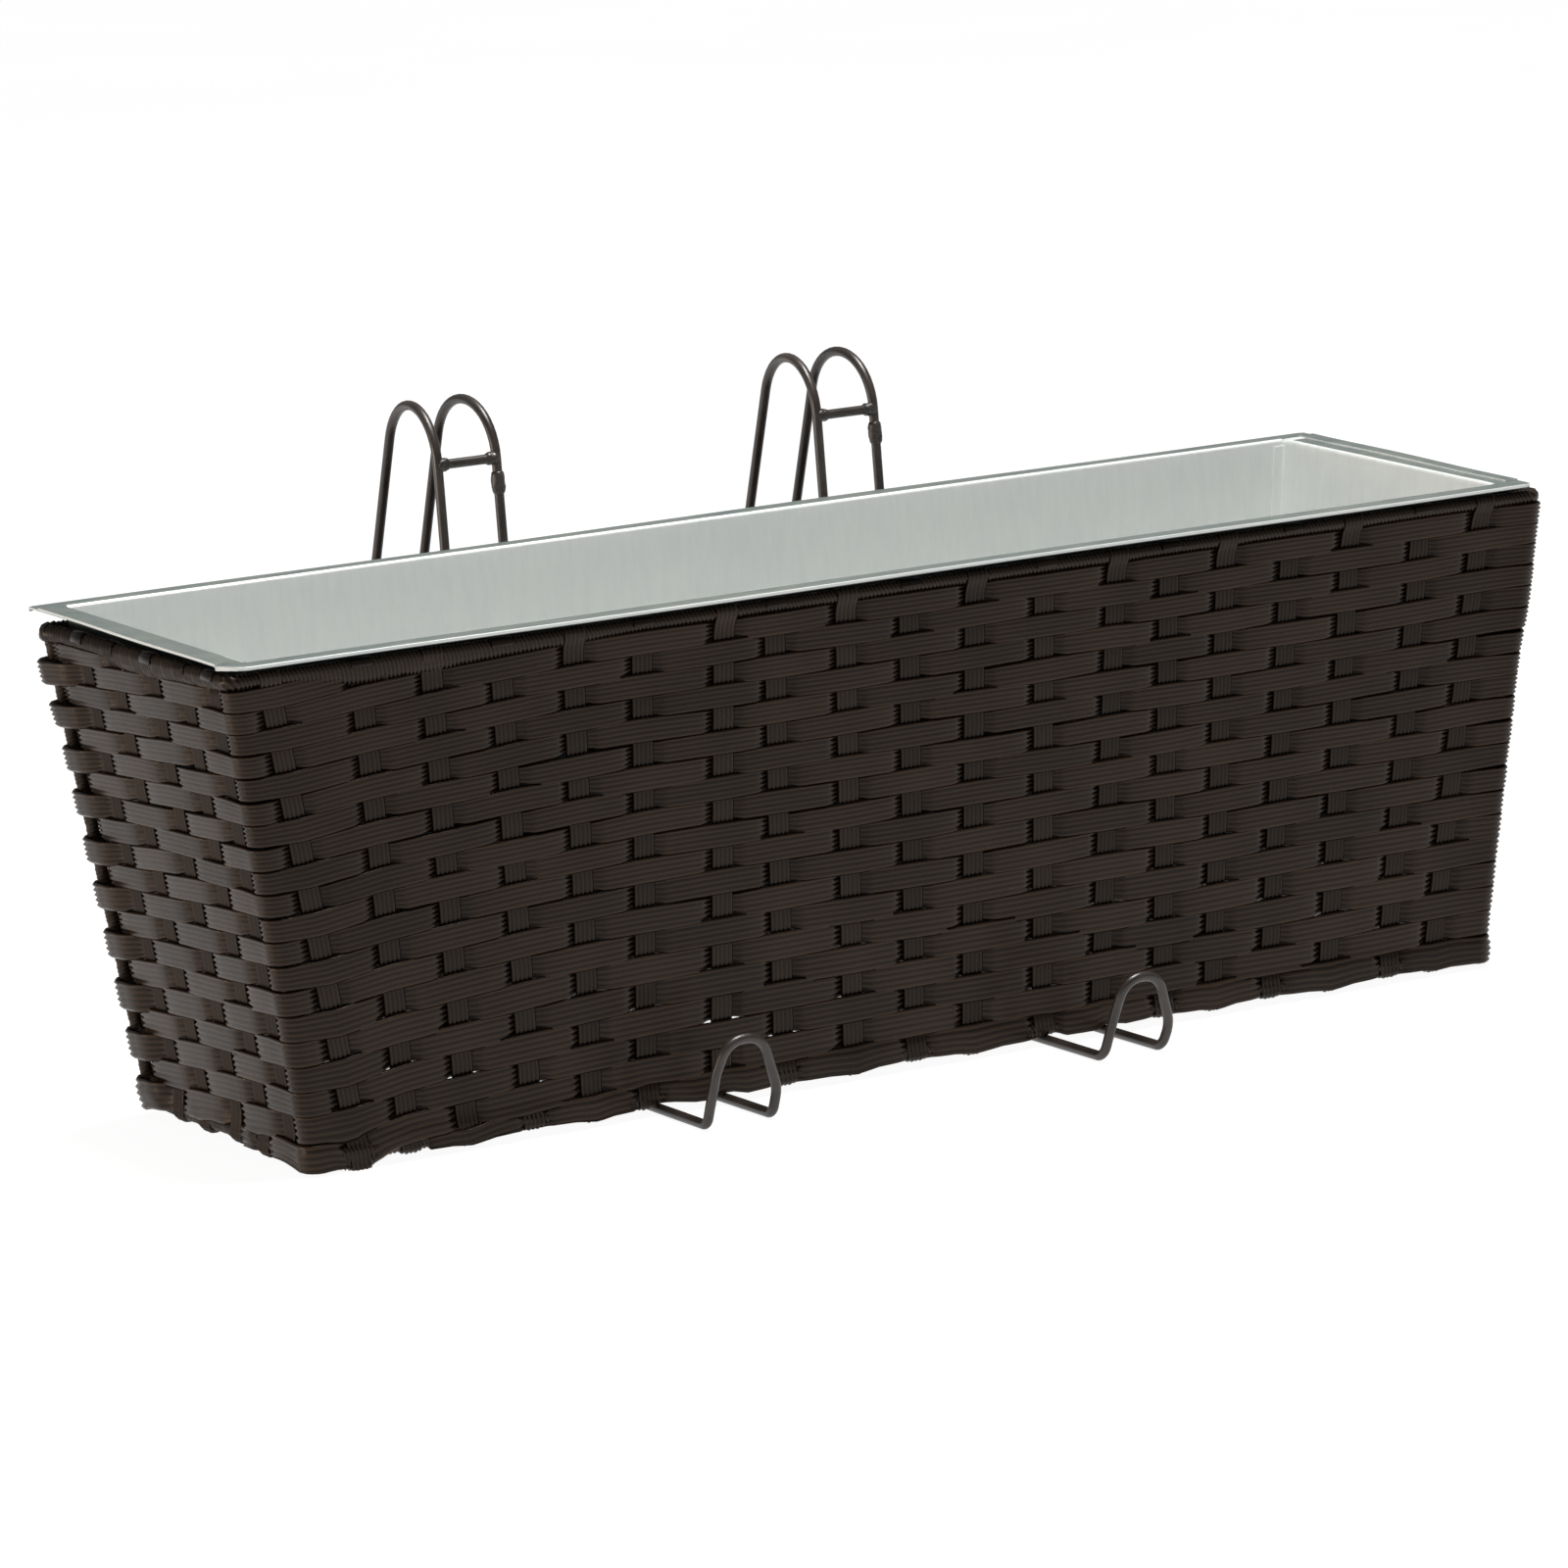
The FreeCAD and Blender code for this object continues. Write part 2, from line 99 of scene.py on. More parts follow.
def around(s, z):
    """Point on the middle surface of the weave and its outward normal."""
    z = np.asarray(z, float)
    s = np.asarray(s, float)
    f0, f1, r0, r1, b0, b1, l0, l1, total = marks(z)
    s = np.mod(s, total)
    hx, hy, r = half_x(z), half_y(z), CORNER_R
    x = np.zeros(np.broadcast(s, z).shape)
    y, nx, ny = x.copy(), x.copy(), x.copy()

    def arc(mask, start, cx, cy, angle0):
        a = angle0 + (s - start) / r
        x[mask] = (cx + r * np.cos(a))[mask]
        y[mask] = (cy + r * np.sin(a))[mask]
        nx[mask] = np.cos(a)[mask]
        ny[mask] = np.sin(a)[mask]

    def run(mask, px, py, ux, uy):
        x[mask] = np.broadcast_to(px, x.shape)[mask]
        y[mask] = np.broadcast_to(py, x.shape)[mask]
        nx[mask] = ux
        ny[mask] = uy

    arc(s < f0, 0.0, -hx + r, -hy + r, 1.25 * math.pi)
    run((s >= f0) & (s < f1), -hx + r + (s - f0), -hy, 0.0, -1.0)
    arc((s >= f1) & (s < r0), f1, hx - r, -hy + r, 1.5 * math.pi)
    run((s >= r0) & (s < r1), hx, -hy + r + (s - r0), 1.0, 0.0)
    arc((s >= r1) & (s < b0), r1, hx - r, hy - r, 0.0)
    run((s >= b0) & (s < b1), hx - r - (s - b0), hy, 0.0, 1.0)
    arc((s >= b1) & (s < l0), b1, -hx + r, hy - r, 0.5 * math.pi)
    run((s >= l0) & (s < l1), -hx, hy - r - (s - l0), -1.0, 0.0)
    arc(s >= l1, l1, -hx + r, -hy + r, math.pi)
    return x, y, nx, ny


# the fifty uprights that the weave crosses: 19 in front, 5 right, the back right
# corner post, 19 behind, the back left corner post, 5 left
def uprights(z):
    t = z / HEIGHT
    f0, f1, r0, r1, b0, b1, l0, l1, total = marks(z)
    hx, hy, r = half_x(z), half_y(z), CORNER_R
    out = [f0 + lerp(b, a, t) + hx - r for a, b in zip(FRONT_TOP, FRONT_BOT)]
    out += [r0 + lerp(b, a, t) + hy - r for a, b in reversed(list(zip(RIGHT_TOP, RIGHT_BOT)))]
    out += [(r1 + b0) / 2]
    for i in range(BACK_N):
        k = i / (BACK_N - 1.0)
        a, b = lerp(271.8, -271.8, k), lerp(244.8, -244.8, k)
        out.append(b0 + hx - r - lerp(b, a, t))
    out += [(b1 + l0) / 2]
    out += [l0 + hy - r - lerp(b, a, t) for a, b in zip(LEFT_TOP, LEFT_BOT)]
    return np.array(out), total


N_UP = 50
POSTS = (24, 44)
U0, TOTAL0 = uprights(0.0)
U1, TOTAL1 = uprights(HEIGHT)
U_SLOPE, TOTAL_SLOPE = (U1 - U0) / HEIGHT, (TOTAL1 - TOTAL0) / HEIGHT


def upright_s(j, z):
    """s of upright j at height z; j may run past the last one into the next turn."""
    j = np.asarray(j)
    k, turn = np.mod(j, N_UP), np.floor_divide(j, N_UP)
    return U0[k] + U_SLOPE[k] * z + turn * (TOTAL0 + TOTAL_SLOPE * z)


def index_of(s, z):
    """Which upright a place round the basket belongs to, as a number with a fraction."""
    u, total = uprights(z)
    s = np.mod(s, total)
    full = np.concatenate([[u[-1] - total], u, [u[0] + total]])
    return np.interp(s, full, np.arange(-1, N_UP + 1))


# the binding is deeper where it also holds the ends of the two weavers
RIM_J = [-1, 0, .45, 1, 2, 3, 4, 5, 45.9, 46.25, 47, 48, 49, 50]
RIM_DROP = [1.2, 0, 2.4, 5.3, 4.1, 2.6, 1.3, 0, 0, 3.4, 3.6, 2.4, 1.2, 0]
# and higher along the ends and the back, up to the tipped liner
LIFT_J = [-1, 0, 18, 19, 24, 44, 49, 50]
RIM_LIFT = [0.25, 0.0, 0.0, 0.25, 1.7, 1.7, 0.25, 0.0]
WIRES = ((-117.5, -1), (-91.0, -1), (58.5, -1), (85.5, -1), (-117.5, 1), (-91.0, 1), (58.5, 1), (85.5, 1))


def base_drop(s, z=0.0):
    """How far the strands round the bottom rail hang under it; less where the bracket wires pass."""
    s = np.asarray(s, float)
    x, y, nx, ny = around(s, np.full(s.shape, 3.0))
    j = index_of(s, 3.0)
    near = np.exp(-((j - np.round(j)) / 0.20) ** 2)
    odd = 0.5 + 0.5 * np.cos(math.pi * np.round(j))
    d = 1.25 + near * (0.35 + 0.75 * odd) + 0.35 * np.sin(s / 23.0) + 0.25 * np.sin(s / 9.0 + 1.0)
    d = d + 3.3 * np.exp(-((np.mod(j + 25, 50) - 25 - 0.02) / 0.34) ** 2)      # first upright of the front
    d = d + 1.9 * np.exp(-((np.mod(s + TOTAL0 / 2, TOTAL0) - TOTAL0 / 2) / 9.0) ** 2)   # front left corner
    f0, f1, r0, r1, b0, b1, l0, l1, total = marks(3.0)
    d = d + 1.9 * np.exp(-((s - (f1 + r0) / 2) / 10.0) ** 2)
    for xw, side in WIRES:
        d = d * (1 - np.where(np.sign(y) == side, np.exp(-(np.abs(x - xw) / 5.5) ** 4), 0.0))
    return d


def settle(s, z, d=None):
    """Height near the base after the strands have been drawn down under the rail."""
    d = base_drop(s) if d is None else d
    return z - d * smooth((16.0 - z) / 15.0)


# ------------------------------------------------------------ meshes
def build(name, points, faces, uv=None, tone=None, turn=True):
    """A mesh object from row-frame points; its faces are turned outwards if it is inside out."""
    points = np.asarray(points, float)
    faces = [tuple(int(i) for i in f) for f in faces]
    vol = 0.0
    if turn:
        centre = points.mean(axis=0)
        quads = np.array([f for f in faces if len(f) == 4])
        p = points[quads] - centre
        vol = float(np.einsum("ij,ij->i", np.cross(p[:, 0], p[:, 1]), p[:, 2]).sum()
                    + np.einsum("ij,ij->i", np.cross(p[:, 0], p[:, 2]), p[:, 3]).sum())
    if vol < 0:
        faces = [f[::-1] for f in faces]
    mesh = bpy.data.meshes.new(name)
    mesh.from_pydata(points.tolist(), [], faces)
    mesh.update()
    if uv is not None:
        layer = mesh.uv_layers.new(name="UVMap")
        index = np.empty(len(mesh.loops), dtype=np.int32)
        mesh.loops.foreach_get("vertex_index", index)
        layer.data.foreach_set("uv", np.asarray(uv, np.float32)[index].ravel())
    if tone is not None:
        attribute = mesh.attributes.new("tone", "FLOAT", "POINT")
        attribute.data.foreach_set("value", np.asarray(tone, np.float32))
    mesh.polygons.foreach_set("use_smooth", np.ones(len(mesh.polygons), dtype=bool))
    obj = bpy.data.objects.new(name, mesh)
    bpy.context.scene.collection.objects.link(obj)
    return obj


def tube_faces(n, m, start=0, closed=False):
    """Quads of n sections of m points each, the sections' loops closed, with end caps."""
    faces = []
    count = n if closed else n - 1
    for i in range(count):
        a, b = start + i * m, start + ((i + 1) % n) * m
        for k in range(m):
            k2 = (k + 1) % m
            faces.append((a + k, a + k2, b + k2, b + k))
    if not closed:
        faces.append(tuple(start + k for k in range(m))[::-1])
        faces.append(tuple(start + (n - 1) * m + k for k in range(m)))
    return faces


def ride(obj, body, material, *nodes):
    obj.data.materials.append(material)
    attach(obj, body)
    if nodes:
        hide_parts(*nodes)
    return obj


# ribbed strand: w across (-0.5 to 0.5 of its width), t out of its middle plane (mm)
RIDGES = 5
PROFILE = [(-0.5, -0.06)]
HEIGHTS = (0.74, 0.92, 0.84, 0.94, 0.78)
for _k in range(RIDGES):
    PROFILE.append((-0.5 + (_k + 0.5) / RIDGES, HEIGHTS[_k]))
    if _k < RIDGES - 1:
        PROFILE.append((-0.5 + (_k + 1.0) / RIDGES, -0.12))
PROFILE.append((0.5, -0.06))
PROFILE += [(0.44, -0.46), (0.0, -0.52), (-0.44, -0.46)]
PW = np.array([p[0] for p in PROFILE])
PT = np.array([p[1] for p in PROFILE])
# painted light and shade across a strand: 1 on the ridges (painted highlight), 0 in the grooves and at the edges
# (painted shade), 0.3 on the back
RIDGE_LIGHT_GROOVE_SHADE = np.array([0.0] + sum([[1.0, 0.0] for _ in range(RIDGES - 1)], []) + [1.0, 0.0] + [0.3, 0.3, 0.3])
PM = len(PROFILE)

# ------------------------------------------------------------ materials
def node(tree, kind, **inputs):
    n = tree.nodes.new(kind)
    for key, value in inputs.items():
        if hasattr(n, key) and key not in n.inputs:
            setattr(n, key, value)
        else:
            n.inputs[key].default_value = value
    return n


def fresh(name):
    mat = bpy.data.materials.new(name)
    mat.use_nodes = True
    tree = mat.node_tree
    shader = tree.nodes["Principled BSDF"]
    return mat, tree, shader


def ramp(tree, stops):
    n = tree.nodes.new("ShaderNodeValToRGB")
    e = n.color_ramp.elements
    e[0].position, e[0].color = stops[0][0], stops[0][1]
    e[1].position, e[1].color = stops[-1][0], stops[-1][1]
    for position, colour in stops[1:-1]:
        k = e.new(position)
        k.color = colour
    return n


def wicker_material(name, dark, light):
    """Ribbed synthetic rattan: satin plastic, tone drifting along each strand, fine streaks along it; the tone
    attribute also carries painted light and shade from the ribs and stakes.
    """
    mat, tree, shader = fresh(name)
    link = tree.links.new
    uv = node(tree, "ShaderNodeUVMap", uv_map="UVMap")
    stretch = node(tree, "ShaderNodeMapping")
    stretch.inputs["Scale"].default_value = (7.0, 34.0, 1.0)
    link(uv.outputs["UV"], stretch.inputs["Vector"])
    streak = node(tree, "ShaderNodeTexNoise", Scale=1.0, Detail=4.0, Roughness=0.6)
    link(stretch.outputs["Vector"], streak.inputs["Vector"])
    coord = node(tree, "ShaderNodeTexCoord")
    drift = node(tree, "ShaderNodeTexNoise", Scale=26.0, Detail=3.0, Roughness=0.55)
    link(coord.outputs["Object"], drift.inputs["Vector"])
    tone = node(tree, "ShaderNodeAttribute", attribute_name="tone")
    a = node(tree, "ShaderNodeMath", operation="MULTIPLY_ADD")
    a.inputs[1].default_value = 0.45
    link(streak.outputs["Fac"], a.inputs[0])
    b = node(tree, "ShaderNodeMath", operation="MULTIPLY_ADD")
    b.inputs[1].default_value = 0.35
    b.inputs[2].default_value = 0.0
    link(drift.outputs["Fac"], b.inputs[0])
    link(b.outputs[0], a.inputs[2])
    c = node(tree, "ShaderNodeMath", operation="ADD")
    link(a.outputs[0], c.inputs[0])
    link(tone.outputs["Fac"], c.inputs[1])
    colours = ramp(tree, [(0.18, dark), (0.82, light)])
    link(c.outputs[0], colours.inputs["Fac"])
    link(colours.outputs["Color"], shader.inputs["Base Color"])
    rough = node(tree, "ShaderNodeMapRange")
    rough.inputs["To Min"].default_value = 0.24
    rough.inputs["To Max"].default_value = 0.38
    link(streak.outputs["Fac"], rough.inputs["Value"])
    link(rough.outputs["Result"], shader.inputs["Roughness"])
    bump = node(tree, "ShaderNodeBump", Strength=0.25, Distance=0.00025)
    link(streak.outputs["Fac"], bump.inputs["Height"])
    link(bump.outputs["Normal"], shader.inputs["Normal"])
    shader.inputs["Specular IOR Level"].default_value = 0.19
    shader.inputs["Specular Tint"].default_value = (1.0, 0.89, 0.80, 1.0)
    return mat


def zinc_material(name, scale, lift=0.0, metal=0.45):
    """Galvanised sheet: dull metal, faint grain drawn along Z of the texture space, soft cloudy mottling."""
    mat, tree, shader = fresh(name)
    link = tree.links.new
    coord = node(tree, "ShaderNodeTexCoord")
    stretch = node(tree, "ShaderNodeMapping")
    stretch.inputs["Scale"].default_value = scale
    link(coord.outputs["Object"], stretch.inputs["Vector"])
    grain = node(tree, "ShaderNodeTexNoise", Scale=1.0, Detail=5.0, Roughness=0.62)
    link(stretch.outputs["Vector"], grain.inputs["Vector"])
    cloud = node(tree, "ShaderNodeTexNoise", Scale=9.0, Detail=3.0, Roughness=0.5)
    link(coord.outputs["Object"], cloud.inputs["Vector"])
    mix = node(tree, "ShaderNodeMath", operation="MULTIPLY_ADD")
    mix.inputs[1].default_value = 0.55
    link(grain.outputs["Fac"], mix.inputs[0])
    half = node(tree, "ShaderNodeMath", operation="MULTIPLY")
    half.inputs[1].default_value = 0.45
    link(cloud.outputs["Fac"], half.inputs[0])
    link(half.outputs[0], mix.inputs[2])
    # lift shifts the whole colour; the flange, hem, strip and outer copies below use it for painted light and shade
    colours = ramp(tree, [(0.30, (0.70 + lift, 0.73 + lift, 0.73 + lift, 1)), (0.50, (0.75 + lift, 0.772 + lift, 0.762 + lift, 1)),
                          (0.70, (0.79 + lift, 0.806 + lift, 0.788 + lift, 1))])
    link(mix.outputs[0], colours.inputs["Fac"])
    link(colours.outputs["Color"], shader.inputs["Base Color"])
    rough = node(tree, "ShaderNodeMapRange")
    rough.inputs["To Min"].default_value = 0.34
    rough.inputs["To Max"].default_value = 0.54
    link(grain.outputs["Fac"], rough.inputs["Value"])
    link(rough.outputs["Result"], shader.inputs["Roughness"])
    bump = node(tree, "ShaderNodeBump", Strength=0.12, Distance=0.0004)
    link(grain.outputs["Fac"], bump.inputs["Height"])
    link(bump.outputs["Normal"], shader.inputs["Normal"])
    shader.inputs["Metallic"].default_value = metal
    return mat


def coat_material(name, dark, light, low, high):
    """Powder coat on wire: fine orange peel, slightly rubbed tone."""
    mat, tree, shader = fresh(name)
    link = tree.links.new
    coord = node(tree, "ShaderNodeTexCoord")
    peel = node(tree, "ShaderNodeTexNoise", Scale=900.0, Detail=2.0, Roughness=0.5)
    link(coord.outputs["Object"], peel.inputs["Vector"])
    drift = node(tree, "ShaderNodeTexNoise", Scale=60.0, Detail=4.0, Roughness=0.6)
    link(coord.outputs["Object"], drift.inputs["Vector"])
    colours = ramp(tree, [(0.35, dark), (0.7, light)])
    link(drift.outputs["Fac"], colours.inputs["Fac"])
    link(colours.outputs["Color"], shader.inputs["Base Color"])
    rough = node(tree, "ShaderNodeMapRange")
    rough.inputs["To Min"].default_value = low
    rough.inputs["To Max"].default_value = high
    link(drift.outputs["Fac"], rough.inputs["Value"])
    link(rough.outputs["Result"], shader.inputs["Roughness"])
    bump = node(tree, "ShaderNodeBump", Strength=0.2, Distance=0.0002)
    link(peel.outputs["Fac"], bump.inputs["Height"])
    link(bump.outputs["Normal"], shader.inputs["Normal"])
    return mat


WEFT_MAT = wicker_material("rattan_weft", (0.0042, 0.0026, 0.0018, 1), (0.0370, 0.0235, 0.0160, 1))
STAKE_MAT = wicker_material("rattan_stake", (0.0040, 0.0026, 0.0018, 1), (0.0315, 0.0205, 0.0142, 1))
WRAP_MAT = wicker_material("rattan_wrap", (0.0036, 0.0024, 0.0017, 1), (0.0330, 0.0220, 0.0155, 1))
WALL_ZINC = zinc_material("zinc_wall", (300.0, 300.0, 60.0))
# copies of the one galvanised sheet as painted light and shade: flange tops and the strip beside the end hems darkened
# as painted shade, the hem faces kept lighter than the flange as painted light, the outer side darkened as painted
# shade
FLANGE_ZINC_SHADED = zinc_material("zinc_flange_painted_shade", (60.0, 160.0, 160.0), -0.60, 0.3)
HEM_ZINC_LIT = zinc_material("zinc_hem_painted_light", (30.0, 400.0, 400.0), -0.12, 0.25)
STRIP_ZINC_SHADED = zinc_material("zinc_strip_painted_shade", (160.0, 60.0, 160.0), -0.665, 0.3)
OUTER_ZINC_SHADED = zinc_material("zinc_outer_painted_shade", (60.0, 60.0, 60.0), -0.60, 0.9)
COAT = coat_material("bracket_coat", (0.016, 0.012, 0.010, 1), (0.040, 0.031, 0.027, 1), 0.26, 0.42)
FRAME_COAT = coat_material("frame_coat", (0.012, 0.010, 0.009, 1), (0.030, 0.025, 0.022, 1), 0.40, 0.60)

rng = np.random.default_rng(20)

# ------------------------------------------------------------ the two weavers
# heights of the courses, 1 at the rim to 20 at the base, as they run along the front
COURSE_Z = np.array([182.0, 173.8, 165.4, 156.8, 147.8, 138.8, 129.8, 120.7, 111.6, 102.4,
                     93.1, 83.6, 73.8, 64.0, 54.2, 44.0, 33.9, 23.9, 14.1, 4.7])
LEVELS = np.arange(1, 21)


def level_z(level):
    level = np.asarray(level, float)
    z = np.interp(level, LEVELS, COURSE_Z)
    z = np.where(level < 1, COURSE_Z[0] + (1 - level) * 8.2, z)
    return np.where(level > 20, COURSE_Z[-1] - (level - 20) * 9.6, z)


def level_pitch(level):
    return np.clip(level_z(np.asarray(level) - 0.5) - level_z(np.asarray(level) + 0.5), 8.0, 10.2)


# how far a weaver has climbed, in courses, as it goes once round
CLIMB_J = np.array([0, 1, 2, 3, 4, 5, 44, 45, 46, 47, 48, 49, 50], float)
CLIMB = np.array([0, .40, .60, .78, .92, 1.0, 1.15, 1.32, 1.53, 1.72, 1.83, 1.93, 2.0])


def climb(j):
    turn, part = np.floor_divide(j, N_UP), np.mod(j, N_UP)
    return 2.0 * turn + np.interp(part, CLIMB_J, CLIMB)


def base_push(z):
    """Near the base the strands pass outside the bottom rail."""
    return 1.9 * smooth((11.0 - np.asarray(z, float)) / 7.0)


def drift_z(s, z):
    """Slow unevenness of the courses, shared by neighbours."""
    k = smooth(z / 14.0) * smooth((188.0 - z) / 14.0)
    return k * (0.42 * np.sin(s / 47.0 + 1.3) * np.sin(z / 31.0 + 0.5) + 0.30 * np.sin(s / 21.0 + z / 17.0))


def front_corners(s):
    """How far along the weave a place is from the left and from the right front corner; s is as at the base."""
    f = (marks(0.0)[1] + marks(0.0)[2]) / 2
    return np.mod(s + TOTAL0 / 2, TOTAL0) - TOTAL0 / 2, np.mod(s - f + TOTAL0 / 2, TOTAL0) - TOTAL0 / 2


def at_base(s, z):
    """The place at the base that belongs to a place higher up, corner to corner."""
    return np.interp(s, np.concatenate([[0.0], marks(z)]), np.concatenate([[0.0], marks(0.0)]))


def corner_push(s):
    """The strands bow out where they turn the two front corners."""
    a, b = front_corners(s)
    return 0.35 * np.exp(-(a / 6.0) ** 2) + 2.9 * np.exp(-(b / 8.0) ** 2)


def top_push(s, z):
    """Near the rim the top courses stand out at the left back corner; low down the right front corner is tighter."""
    m = marks(0.0)
    k = np.mod(s - (m[5] + m[6]) / 2 + TOTAL0 / 2, TOTAL0) - TOTAL0 / 2
    b = front_corners(s)[1]
    return 2.4 * np.exp(-(k / 9.0) ** 2) * smooth((z - 140.0) / 40.0) - 1.5 * np.exp(-(b / 8.0) ** 2) * smooth((150.0 - z) / 30.0)


HALF_FLAT, RUN = 4.4, 6.2
CORNER_AT = {
    49: (lambda z: 0.0, 1), 18: (lambda z: (marks(z)[1] + marks(z)[2]) / 2, 0),
    23: (lambda z: (marks(z)[3] + marks(z)[4]) / 2, 0), 24: (lambda z: (marks(z)[3] + marks(z)[4]) / 2, 0),
    43: (lambda z: (marks(z)[5] + marks(z)[6]) / 2, 0), 44: (lambda z: (marks(z)[5] + marks(z)[6]) / 2, 0)}


def weaver(name, first_level, over_even, start, end):
    """One strand from start to end, counted in uprights; the strand's level falls as it climbs."""
    jitter = rng.uniform(-1.0, 1.0, N_UP * 12 + 10)
    lean = rng.uniform(-1.0, 1.0, N_UP * 12 + 10)
    tones = rng.uniform(-0.16, 0.16, N_UP * 12 + 10)
    lifts = rng.uniform(-1.0, 1.0, N_UP * 12 + 10)
    J, O, Q, K = [], [], [], []

    def over(j):
        return (j % 2 == 0) == over_even

    def reach(j):
        post = (j % N_UP) in POSTS
        if over(j):
            return 4.7 if post else 1.26 + 0.12 * lifts[j]
        return -1.9 if post else -1.22

    for j in range(int(math.floor(start)), int(math.ceil(end))):
        z = float(level_z(first_level - climb(float(j))))
        d = float(upright_s(j + 1, z) - upright_s(j, z))
        a, b = reach(j), reach(j + 1)
        low, high = (a, b) if not over(j) else (b, a)
        room = min(RUN + (2.5 if (j % N_UP) in POSTS or ((j + 1) % N_UP) in POSTS else 0.0), d - HALF_FLAT - 1.0)
        xs = [0.0, 3.2, HALF_FLAT + 0.6]
        xs += [HALF_FLAT + room * k for k in (0.28, 0.5, 0.72, 1.0)]
        far = HALF_FLAT + room
        if d - far > 2.0:
            xs += [lerp(far, d, 0.42), lerp(far, d, 0.78)]
        corner = CORNER_AT.get(j % N_UP)
        if corner is not None:
            # close samples round the corner, given as distances from the under crossing
            turn = (np.floor_divide(j, N_UP) + corner[1]) * (TOTAL0 + TOTAL_SLOPE * z) + corner[0](z) - float(upright_s(j, z))
            turn = d - turn if over(j) else turn
            xs += [float(turn + q) for q in (-5.4, -4.0, -2.7, -1.4, 0.0, 1.4, 2.7, 4.0, 5.4) if 0.4 < turn + q < d - 0.4]
            xs = sorted(xs)
            xs = [x for i, x in enumerate(xs) if i == 0 or x - xs[i - 1] > 0.7]
        xs = np.array(xs)
        rise = smooth((xs - HALF_FLAT) / room)
        arch = 0.46 * np.sin(0.5 * math.pi * np.clip((xs - HALF_FLAT) / max(d - HALF_FLAT, 1e-6), 0, 1))
        off = low + (high - low) * rise + arch
        if over(j):      # the strand leaves an over crossing, so distances run the other way
            frac = 1.0 - xs[::-1] / d
            off = off[::-1]
            frac[-1] = min(frac[-1], 1.0)
            frac = np.concatenate([[0.0], frac[:-1]]) if frac[0] > 1e-6 else frac
            off = np.concatenate([[high + 0.46], off[:-1]]) if len(off) == len(frac) else off
        else:
            frac = xs / d
        for f, o in zip(frac, off):
            g = j + float(f)
            if start <= g <= end:
                J.append(j + min(float(f), 0.99999))
                O.append(float(o))
                Q.append(lerp(jitter[j], jitter[j + 1], float(smooth(f))))
                K.append(lerp(tones[j], tones[j + 1], float(f)))
    J, O, Q, K = np.array(J), np.array(O), np.array(Q), np.array(K)
    order = np.argsort(J, kind="stable")
    J, O, Q, K = J[order], O[order], Q[order], K[order]
    keep = np.concatenate([[True], np.diff(J) > 1e-4])
    J, O, Q, K = J[keep], O[keep], Q[keep], K[keep]
    level = first_level - climb(J)
    zc = level_z(level)
    whole = np.floor(J).astype(int)
    s_mid = lerp(upright_s(whole, zc), upright_s(whole + 1, zc), J - whole)
    zc = zc + drift_z(np.mod(s_mid, TOTAL0), zc) + 0.16 * Q
    ca, cb = front_corners(np.mod(s_mid, TOTAL0 + TOTAL_SLOPE * zc) * TOTAL0 / (TOTAL0 + TOTAL_SLOPE * zc))
    turning = np.maximum(np.exp(-(ca / 12.0) ** 2), np.exp(-(cb / 14.0) ** 2))
    bulge = np.clip(O / 1.25, -1.0, 1.0) * (1 - turning) - 0.45 * turning
    width = np.clip(level_pitch(level), 8.7, 10.9) * (1.0 + 0.066 * bulge) + 0.10 * Q + 0.06
    width = width + 0.80 * smooth((76.0 - zc) / 24.0)
    # ends taper away under the rim or the base
    z = zc[:, None] + PW[None, :] * width[:, None]
    z = np.clip(z, 0.15, 187.0)
    j0 = np.floor(J).astype(int)
    f = (J - j0)[:, None]
    s = upright_s(j0[:, None], z) * (1 - f) + upright_s(j0[:, None] + 1, z) * f
    low_zone = base_push(z)
    total_z = TOTAL0 + TOTAL_SLOPE * z
    Z_REF = float(np.mean(z))
    base_s = np.mod(s, total_z) * (TOTAL0 + TOTAL_SLOPE * Z_REF) / total_z
    off = O[:, None] * (1.0 - 0.42 * smooth((9.0 - z) / 6.0)) + low_zone + corner_push(at_base(base_s, Z_REF)) + top_push(at_base(base_s, Z_REF), z)
    roll = 0.012 * np.interp(J, np.arange(len(lean)), lean)[:, None] * PW[None, :] * width[:, None]
    # the ribs stand out where the strand dives behind the next stake
    dive = smooth(1.0 - np.abs(O - 0.1) / 1.3)[:, None]
    off = off + PT[None, :] + 0.75 * dive * np.maximum(PT[None, :], 0.0) + roll * 2.0
    x, y, nx, ny = around(s, z)
    pts = np.stack([x + nx * off, y + ny * off, settle(s, z)], axis=-1)
    n = len(J)
    mid = pts[:, PM // 3]
    along = np.concatenate([[0.0], np.cumsum(np.linalg.norm(np.diff(mid, axis=0), axis=1))])
    uv = np.stack([np.repeat(along[:, None], PM, 1) * 0.01, PW[None, :] * width[:, None] * 0.1 + 0.5], axis=-1)
    # painted light and shade: ridges lighter and grooves darker across each strand, more so where it passes behind a
    # stake, where the whole strand is also darkened as painted shade; K is each stretch's random tone
    behind_stake_shade = smooth((0.9 - O) / 2.0)[:, None]
    tone = K[:, None] + (RIDGE_LIGHT_GROOVE_SHADE[None, :] - 0.5) * (0.72 + 0.3 * behind_stake_shade) + 0.10 - 0.16 * behind_stake_shade
    return build(name, row(pts.reshape(-1, 3)), tube_faces(n, PM), uv.reshape(-1, 2), tone.ravel())


weft_a = weaver("weft_strand_a", 21.0, True, 1.25, 501.36)
weft_b = weaver("weft_strand_b", 22.0, False, 47.3, 546.45)
ride(weft_a, "basket", WEFT_MAT, *["weft_course_%02d" % k for k in range(1, 21, 2)])
ride(weft_b, "basket", WEFT_MAT, *["weft_course_%02d" % k for k in range(2, 21, 2)])


